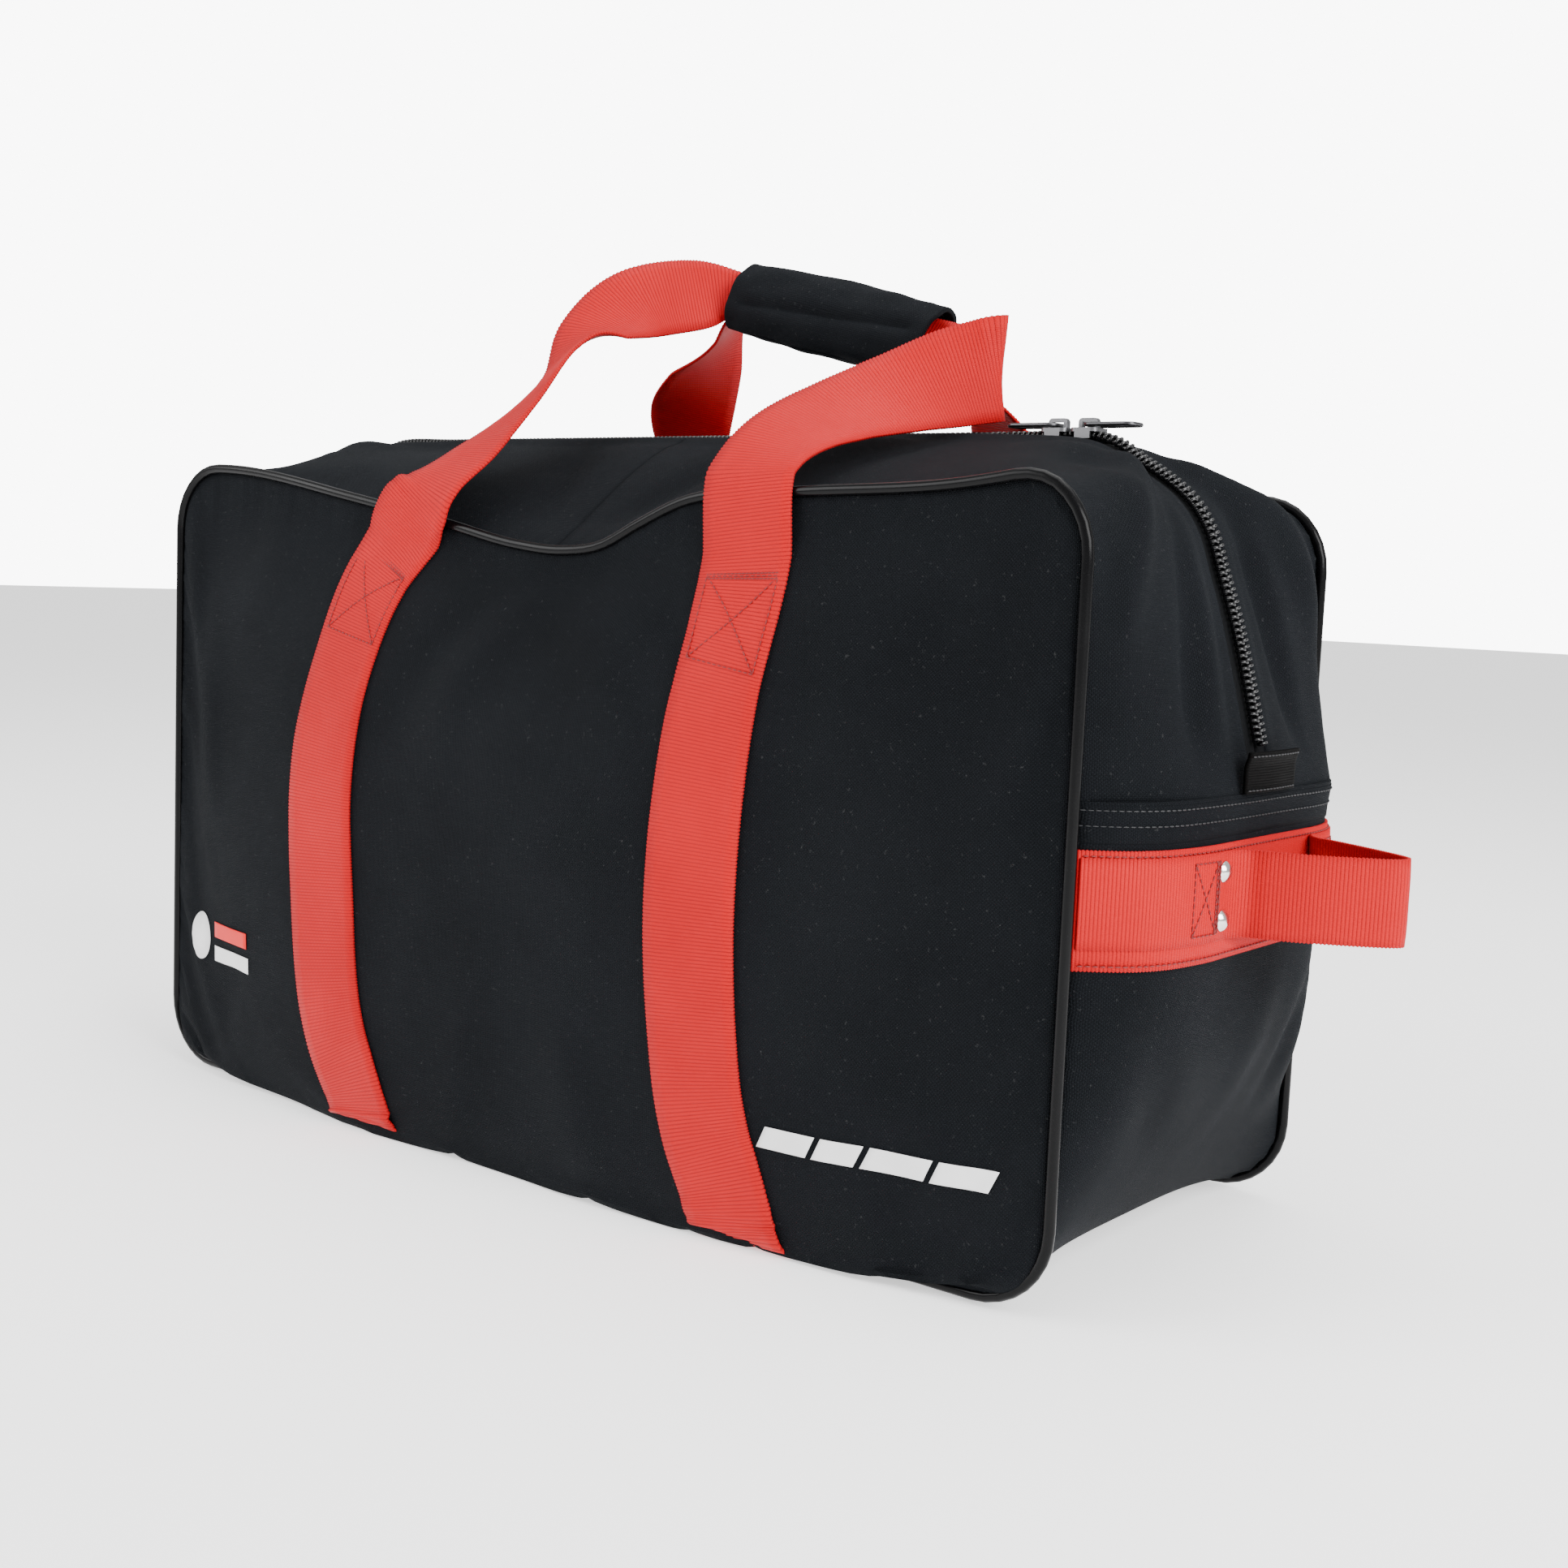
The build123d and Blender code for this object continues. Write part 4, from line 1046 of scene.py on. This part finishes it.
free_legs = {
    ("left", -1): [
        ((-0.0925, -piping_out, 0.334), (1, 0, 0), web_width),
        ((-0.0860, -0.1145, 0.3460), (1, -0.05, 0), web_width),
        ((-0.0790, -0.0960, 0.3620), (0.98, -0.20, 0.0), web_width),
        ((-0.0730, -0.0700, 0.3860), (0.88, -0.48, 0.0), web_width),
        ((-0.0730, -0.0380, 0.4150), (0.72, -0.68, -0.10), web_width),
        ((-0.0730, -0.0110, 0.4370), (0.60, -0.56, -0.56), web_width),
        ((-0.0640, 0.0170, 0.4540), (0.42, -0.36, -0.82), web_width),
        ((-0.0450, 0.0420, 0.4610), (0.22, -0.34, -0.88), 0.044),
        in_grip(-0.070, 0.002, -1), in_grip(-0.045, 0.002, -1), in_grip(-0.0004, 0.002, -1),
    ],
    ("right", -1): [
        ((0.1290, -piping_out, 0.3440), (1, 0, 0), web_width),
        ((0.1285, -0.1130, 0.3570), (1, 0, -0.05), web_width),
        ((0.1310, -0.0930, 0.3715), (0.93, -0.10, -0.30), web_width),
        ((0.1380, -0.0660, 0.3830), (0.66, -0.48, -0.58), web_width),
        ((0.1510, -0.0380, 0.3935), (0.34, -0.56, -0.75), web_width),
        ((0.1670, -0.0140, 0.4030), (0.14, -0.34, -0.93), web_width),
        ((0.1785, 0.0010, 0.4080), (0.05, -0.12, -0.99), web_width),
        ((0.1790, 0.0085, 0.4095), (0.02, -0.08, -0.99), web_width),
        ((0.1690, 0.0170, 0.4120), (0.0, -0.10, -0.99), 0.048),
        ((0.1470, 0.0320, 0.4175), (-0.05, -0.25, -0.96), 0.042),
        ((0.1250, 0.0480, 0.4230), (-0.12, -0.42, -0.88), 0.034),
        in_grip(0.066, 0.002, -1), in_grip(0.045, 0.002, -1), in_grip(0.0004, 0.002, -1),
    ],
    ("left", 1): [
        ((-0.1120, piping_out, 0.3600), (1, 0, 0), web_width),
        ((-0.1110, 0.1180, 0.3740), (1, 0, 0.05), web_width),
        ((-0.0990, 0.1020, 0.3980), (0.95, 0.1, 0.3), web_width),
        ((-0.0720, 0.0830, 0.4230), (0.8, 0.2, 0.55), 0.046),
        ((-0.0430, 0.0690, 0.4460), (0.4, 0.4, 0.8), 0.036),
        in_grip(-0.068, -0.0025, 1), in_grip(-0.045, -0.0025, 1), in_grip(-0.0004, -0.0025, 1),
    ],
    ("right", 1): [
        ((0.1255, piping_out, 0.3430), (1, 0, 0), web_width),
        ((0.1250, 0.1150, 0.3600), (1, 0, -0.1), web_width),
        ((0.1250, 0.1010, 0.3830), (0.97, -0.1, -0.2), 0.046),
        ((0.1220, 0.0840, 0.4050), (0.8, -0.3, -0.5), 0.038),
        ((0.1120, 0.0690, 0.4230), (0.3, -0.4, -0.85), 0.031),
        in_grip(0.062, -0.0025, -1), in_grip(0.045, -0.0025, -1), in_grip(0.0004, -0.0025, -1),
    ],
}
side_names = {-1: "front", 1: "back"}
panel_foot = 0.130
rim_clear = 0.018
for (hand_name, side), free in free_legs.items():
    bow = strap_bow[hand_name, side]
    middle_x = (bow[0][1] + strap_bow[hand_name, -side][0][1]) / 2
    lean = (bow[0][1] - middle_x) / panel_foot
    stations = [((middle_x + lean * y, side * y, z), (1, 0, 0), web_width) for y, z in (
        (0.001, 0.0010), (0.040, 0.0010), (0.080, 0.0010), (0.108, 0.0010), (0.120, 0.0011),
        (panel_foot, 0.0026))]
    rim_z = slumped(side, bow[-1][1], seam_top)
    stations += [panel_station(side, through(bow, z), z) for z in strap_heights if z < rim_z - rim_clear]
    stations += free
    rows = [(centre, Vector(across) * side, width) for centre, across, width in stations]
    bm, strap_frames = lay_webbing(web_path(rows))
    keep_off(bm, panel_faces[side], side, strap_lift)
    name = f"{side_names[side]}_{hand_name}_strap"
    finish_webbing(name, bm, red_webbing,
                   ("bag", side_names[side] + "_handle", (0, 0, handle_bend[0]), (0, 0, handle_bend[1])),
                   [hand_name + "_body_strap", side_names[side] + "_handle_web"])
    heights = [centre.z for centre, _, _, _ in strap_frames[0]]
    top_at, low_at = (strap_frames[1][next(i for i, z in enumerate(heights) if z > level)]
                      for level in (box_top, box_low))
    bm = bmesh.new()
    box_and_cross(bm, strap_frames, top_at, low_at, web_width / 2 - 0.0045)
    seams = add_object(name + "_stitching", bm, red_thread)
    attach(seams, "bag")

# Grip: a canvas sleeve with thin foam, wrapped round both handles and closed along its lower edge
# with a hook and a loop strip. It is hemmed at both ends, and one leaf goes with each handle.
grip_half = (grip_end - grip_start).length / 2 - 0.001
grip_wide, grip_thick = 0.0190, 0.0118
grip_canvas = canvas("grip_canvas", canvas_black, canvas_worn_and_sheen, 0.00070, 0.00026)


def grip_point(side, along, angle, puff):
    """A point of the sleeve: side -1 is the outer leaf, which faces the front."""
    hem = ease(grip_half - 0.012, grip_half - 0.004, abs(along))
    bulge = 1 + 0.06 * math.cos(along / grip_half * 1.5) - 0.04 * hem
    crease = -0.0022 * math.exp(-((angle - 1.9 + along * 4) / 0.16) ** 2) * (1 - hem)
    wave = 0.0012 * noise.noise(Vector((along * 45, angle * 1.7, side * 5.0)))
    out = (grip_thick * bulge + crease + wave + puff) * math.sin(angle) * -side
    flat = (grip_wide * bulge + wave + puff) * math.cos(angle)
    place = (grip_start + grip_end) / 2 + grip_along * along
    return place + grip_out * out + grip_flat * flat


def hook_and_loop(name, tuft):
    """Black nylon fastening: a woven strip covered in hooks or in loops."""
    material, tree, shader = new_material(name, (0.006, 0.006, 0.0065), 0.8)
    tufts = tree.nodes.new("ShaderNodeTexVoronoi")
    tufts.inputs["Scale"].default_value = tuft
    tree.links.new(object_place(tree), tufts.inputs["Vector"])
    tree.links.new(mix_colour(tree, tufts.outputs["Distance"], (0.012, 0.012, 0.013),
                              (0.002, 0.002, 0.002)), shader.inputs["Base Color"])
    shader.inputs["Specular IOR Level"].default_value = 0.2
    add_bump(tree, shader, tufts.outputs["Distance"], 0.0006)
    return material


for side, side_name in side_names.items():
    def place_leaf(a, b, side=side):
        along = a * (grip_half + 0.0010)
        angle = (b + 1) / 2 * math.pi
        return grip_point(side, along, angle, 0.0), (along, angle * 0.0155)

    bm = cloth_grid(90, 36, place_leaf)
    if side > 0:
        bmesh.ops.reverse_faces(bm, faces=bm.faces[:])
    leaf = add_object(side_name + "_grip_cloth", bm, grip_canvas)
    add_modifier(leaf, "padding", "SOLIDIFY", thickness=0.0024, offset=-1.0)
    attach(leaf, side_name + "_handle")
    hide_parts(side_name + "_grip_leaf")
    bm = bmesh.new()
    for end in (-1, 1):
        line = []
        for angle in np.linspace(0.08, math.pi - 0.08, 30):
            point = grip_point(side, end * (grip_half - 0.0060), angle, 0.0002)
            line.append((point, (point - ((grip_start + grip_end) / 2)).normalized()))
        stitch(bm, line)
    hems = add_object(side_name + "_grip_stitching", bm, black_thread)
    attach(hems, side_name + "_handle")

for node, tuft in (("grip_hook_strip", 1400.0), ("grip_loop_strip", 900.0)):
    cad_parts[node].data.materials.clear()
    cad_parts[node].data.materials.append(hook_and_loop(node + "_nylon", tuft))

# Lap hems: the lower gusset's ends are turned under and lap over the top gusset, held by two rows of
# stitching. The closed end of the zip is covered by a short tab of black webbing.
end_names = {1: "right", -1: "left"}
gusset_edge = gusset_y - 0.0006


def on_end(hand, y, z, lift):
    """A point over an end of the bag's lower gusset, lifted off the canvas."""
    hit = gusset_faces.ray_cast(Vector((hand * 0.5, y, z)), Vector((-hand, 0, 0)))[0]
    x = abs(hit.x) if hit else end_x
    return Vector((hand * (x + lift), y, z))


tab_black = webbing("tab_webbing", (0.0014, 0.0012, 0.0012), (0.0004, 0.0004, 0.0004), 0.0012, 0.6,
                    gloss=0.03, bloom=0.0)
tab_low, tab_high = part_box("right_zip_tab")
hem_drop = 0.0185
for hand, hand_name in end_names.items():
    bm = bmesh.new()
    for drop in (0.0035, 0.0100):
        line = [(on_end(hand, y, lap_z - drop, 0.0008), (hand, 0, 0))
                for y in np.linspace(-gusset_edge, gusset_edge, 60)]
        stitch(bm, line)
    rows_of_thread = add_object(hand_name + "_lap_stitching", bm, black_thread)
    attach(rows_of_thread, "bag")
    bm = cloth_grid(60, 6, lambda a, b, h=hand: (
        on_end(h, a * gusset_edge * h, lap_z - hem_drop / 2 + b * (hem_drop / 2 - 0.0016), 0.0001),
        (a * gusset_edge, b * hem_drop / 2)))
    hem = add_object(hand_name + "_lap_hem", bm, bag_canvas)
    add_modifier(hem, "thickness", "SOLIDIFY", thickness=0.0008, offset=0.0)
    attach(hem, "bag")

    middle_z = (tab_low.z + tab_high.z) / 2
    half_tall = (tab_high.z - tab_low.z) / 2
    tab_x = (tab_low.x + tab_high.x) / 2

    def place_tab(a, b, hand=hand):
        z = middle_z + b * half_tall
        lean = 0.0016 * ease(0.2, 1.0, b) + 0.0008 * math.cos(a * 2.2)
        y = a * hand * tab_high.y * (1 + 0.012 * noise.noise(Vector((a * 3, b * 2, 0))))
        return Vector((hand * (tab_x + 0.0018 + lean), y, z)), (a * tab_high.y, b * half_tall)

    finish_webbing(hand_name + "_zip_end_tab", cloth_grid(30, 22, place_tab), tab_black, "bag",
                   [hand_name + "_zip_tab"])
    bm = bmesh.new()
    for b in (-0.86, 0.80):
        stitch(bm, [(place_tab(a, b)[0] + Vector((hand * 0.0010, 0, 0)), (hand, 0, 0))
                    for a in np.linspace(-0.94, 0.94, 20)])
    tab_thread = add_object(hand_name + "_tab_stitching", bm, black_thread)
    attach(tab_thread, "bag")

# End grab loops: a wide band of red webbing is sewn across each end, and a narrower length lies on
# it, is box-stitched and riveted, and stands out between the rivets as a loop to pull the bag by.
base_low, base_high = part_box("right_base_web")
grab_low, grab_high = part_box("right_grab_loop")
foot_z = (grab_low.z + grab_high.z) / 2
foot_width = grab_high.z - grab_low.z
loop_hinge = 0.337, 0.360
foot_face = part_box("right_grab_feet")[1].x


def band_x(hand, y, low, high, lift):
    """How far out a band lies at one place across an end, over the highest of the canvas there."""
    return max(abs(on_end(hand, y, z, lift).x) for z in np.linspace(low, high, 7))


for hand, hand_name in end_names.items():
    base_rows = []
    for y in np.linspace(-gusset_edge, gusset_edge, 15):
        near = ease(0.085, 0.060, abs(y))
        x = max(band_x(hand, y, base_low.z, base_high.z, web_thickness / 2 + 0.0002),
                near * (foot_face - 1.5 * web_thickness - 0.0002))
        base_rows.append(((hand * x, y, (base_low.z + base_high.z) / 2), (0, 0, hand), web_width))
    bm, base_frames = lay_webbing(web_path(base_rows))
    finish_webbing(hand_name + "_base_band", bm, red_webbing, "bag", [hand_name + "_base_web"])

    def over_base(y, rows=base_rows):
        """Place of the narrower webbing where it lies on the wide band."""
        places = [row[0][1] for row in rows]
        x = np.interp(y, places, [abs(row[0][0]) for row in rows]) + web_thickness + 0.0001
        return (hand * x, y, foot_z), (0, 0, hand), foot_width

    loop_rows = [over_base(y) for y in (-gusset_edge, -0.095, -0.078, -0.060, -0.046, -0.036)]
    loop_rows += [((hand * x, y, foot_z), (0, 0.02 * y, hand), foot_width) for x, y in (
        (0.3392, -0.0270), (0.3490, -0.0240), (0.3660, -0.0170), (0.3850, -0.0060), (0.3950, 0.0020),
        (0.3962, 0.0090), (0.3900, 0.0160), (0.3720, 0.0270), (0.3520, 0.0375), (0.3400, 0.0430))]
    loop_rows += [over_base(y) for y in (0.050, 0.060, 0.078, 0.095, gusset_edge)]
    bm, loop_frames = lay_webbing(web_path(loop_rows))
    finish_webbing(hand_name + "_grab_webbing", bm, red_webbing,
                   ("bag", hand_name + "_grab", (hand * loop_hinge[0], 0, 0), (hand * loop_hinge[1], 0, 0)),
                   [hand_name + "_grab_feet", hand_name + "_grab_loop"])

    places = [centre.y for centre, _, _, _ in loop_frames[0]]
    along = {level: loop_frames[1][next(i for i, y in enumerate(places) if y > level)]
             for level in (-0.066, -0.048, 0.062, 0.080)}
    bm = bmesh.new()
    for start, end in ((-0.048, -0.066), (0.062, 0.080)):
        box_and_cross(bm, loop_frames, along[start], along[end], foot_width / 2 - 0.0035)
    band_length = base_frames[1][-1]
    for across in (-web_width / 2 + 0.0022, web_width / 2 - 0.0022):
        stitch(bm, web_line(base_frames, (across, 0.002), (across, band_length - 0.002), 80))
    grab_thread = add_object(hand_name + "_grab_stitching", bm, red_thread)
    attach(grab_thread, "bag")

# Rivets, burrs, sliders and pulls: plated metal. The domed rivets are bright nickel, and the zip
# sliders and their pulls are satin zinc that is rubbed bright on the edges.
def build_edge_rub():
    """Edges rubbed bright, and fine grain."""
    group, given, wanted = open_group("edge_rub", [("Place", VECTOR)],
                                      [("Rub", NUMBER), ("Grain", NUMBER)])
    pointy = group.nodes.new("ShaderNodeNewGeometry")
    edge = group.nodes.new("ShaderNodeMapRange")
    edge.inputs["From Min"].default_value = 0.48
    edge.inputs["From Max"].default_value = 0.58
    group.links.new(pointy.outputs["Pointiness"], edge.inputs["Value"])
    grain = group.nodes.new("ShaderNodeTexNoise")
    grain.inputs["Scale"].default_value = 1800.0
    grain.inputs["Detail"].default_value = 3.0
    group.links.new(given["Place"], grain.inputs["Vector"])
    group.links.new(edge.outputs[0], wanted["Rub"])
    group.links.new(grain.outputs[0], wanted["Grain"])
    return group


edge_group = build_edge_rub()


def plated(name, colour, bright, rough):
    """Plated metal with fine grain and rubbed edges."""
    material, tree, shader = new_material(name, colour, rough)
    rub = place_group(tree, edge_group, object_place(tree))
    tree.links.new(mix_colour(tree, rub["Rub"], colour, bright), shader.inputs["Base Color"])
    uneven = add_math(tree, "ADD", rough - 0.05, add_math(tree, "MULTIPLY", rub["Grain"], 0.12))
    tree.links.new(uneven, shader.inputs["Roughness"])
    shader.inputs["Metallic"].default_value = 1.0
    add_bump(tree, shader, rub["Grain"], 0.00003, 0.4)
    return material


def dress(material, *nodes):
    for node in nodes:
        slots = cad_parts[node].data.materials
        slots.clear()
        slots.append(material)


rivet_nickel = plated("rivet_nickel", (0.62, 0.60, 0.57), (0.85, 0.84, 0.82), 0.16)
zip_zinc = plated("zip_zinc", (0.022, 0.022, 0.024), (0.20, 0.20, 0.21), 0.34)
dress(rivet_nickel, "right_rivets", "left_rivets", "right_burrs", "left_burrs")
dress(zip_zinc, "left_zip_slider", "right_zip_slider", "left_zip_pull", "right_zip_pull")

# Base board: a stiff black plastic sheet that lies loose on the bottom inside the bag, with a
# pebbled face against scuffs.
board_plastic, tree, shader = new_material("board_plastic", (0.030, 0.030, 0.033), 0.55)
pebbles = tree.nodes.new("ShaderNodeTexVoronoi")
pebbles.inputs["Scale"].default_value = 420.0
tree.links.new(object_place(tree), pebbles.inputs["Vector"])
scuffs = place_group(tree, handling_group, object_place(tree), Size=12.0)
tree.links.new(mix_colour(tree, scuffs["Rub"], (0.026, 0.026, 0.029), (0.050, 0.050, 0.054)),
               shader.inputs["Base Color"])
add_bump(tree, shader, pebbles.outputs["Distance"], 0.0004, 0.6)
dress(board_plastic, "base_board")

# Seam bindings: woven tape that covers the raw edges of the seams, inside the bag along the piping.
binding_twill = twill_tape("binding_twill", (0.005, 0.005, 0.0055), (0.012, 0.012, 0.013), 0.0009)
binding_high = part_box("front_seam_binding")[1]
for side, side_name in side_names.items():
    outer, inner = (rim_line(side, inset) for inset in (0.0060, 0.0180))
    shared = min(len(outer), len(inner))
    outer, inner = ([line[round(i * len(line) / shared) % len(line)] for i in range(shared)]
                    for line in (outer, inner))
    bm = bmesh.new()
    rings = []
    for line in (outer, inner):
        rings.append([bm.verts.new((x, side * -binding_high.y, z)) for x, z in line])
    edges = [bm.edges.new((ring[i], ring[(i + 1) % shared])) for ring in rings for i in range(shared)]
    bmesh.ops.bridge_loops(bm, edges=edges)
    bmesh.ops.recalc_face_normals(bm, faces=bm.faces[:])
    uv = bm.loops.layers.uv.new("weave")
    for face in bm.faces:
        for loop in face.loops:
            loop[uv].uv = loop.vert.co.x, loop.vert.co.z
    binding = add_object(side_name + "_binding_tape", bm, binding_twill)
    add_modifier(binding, "thickness", "SOLIDIFY", thickness=0.0008, offset=0.0)
    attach(binding, "bag")
    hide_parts(side_name + "_seam_binding")

# Printed marks: plain generic bars in white and red ink on the front panel, where such a bag has
# its printing: a slanted row at the lower right, and a disc with bars at the lower left.


def ink(name, colour):
    material, tree, shader = new_material(name, colour, 0.5)
    uneven = place_group(tree, handling_group, object_place(tree), Size=60.0)
    tree.links.new(mix_colour(tree, add_math(tree, "MULTIPLY", uneven["Rub"], 0.25), colour,
                              tuple(part * 0.7 for part in colour)), shader.inputs["Base Color"])
    shader.inputs["Specular IOR Level"].default_value = 0.2
    return material


white_ink = ink("white_ink", (0.80, 0.80, 0.80))
red_ink = ink("red_ink", (0.70, 0.008, 0.006))
ink_lift = 0.0005


def print_mark(name, outline, material):
    """A thin patch of ink inside an outline of (x, z) points on the front panel."""
    bm = bmesh.new()
    face = bm.faces.new([bm.verts.new((x, 0, z)) for x, z in outline])
    face.normal_update()
    if face.normal.y > 0:
        bmesh.ops.reverse_faces(bm, faces=[face])
    bmesh.ops.subdivide_edges(bm, edges=bm.edges[:], cuts=9, use_grid_fill=True)
    bmesh.ops.triangulate(bm, faces=bm.faces[:])
    for vertex in bm.verts:
        vertex.co = on_panel(-1, vertex.co.x, vertex.co.z, ink_lift)
    mark = add_object(name, bm, material)
    add_modifier(mark, "thickness", "SOLIDIFY", thickness=0.0002, offset=0.0)
    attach(mark, "bag")


for index, (start, width) in enumerate(((0.165, 0.026), (0.194, 0.020), (0.217, 0.030), (0.250, 0.026))):
    low, tall, slant = 0.0520, 0.0100, 0.0045
    print_mark(f"white_bar_{index + 1}", [(start, low), (start + width, low),
                                          (start + width + slant, low + tall), (start + slant, low + tall)],
               white_ink)
disc = [(-0.268 + 0.011 * math.cos(angle), 0.082 + 0.014 * math.sin(angle))
        for angle in np.linspace(0, 2 * math.pi, 24, endpoint=False)]
print_mark("white_disc", disc, white_ink)
for name, low, width, material in (("red_stripe", 0.0840, 0.042, red_ink), ("white_stripe", 0.0700, 0.044,
                                                                             white_ink)):
    print_mark(name, [(-0.250, low), (-0.250 + width, low), (-0.250 + width, low + 0.009),
                      (-0.250, low + 0.009)], material)

low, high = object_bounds()
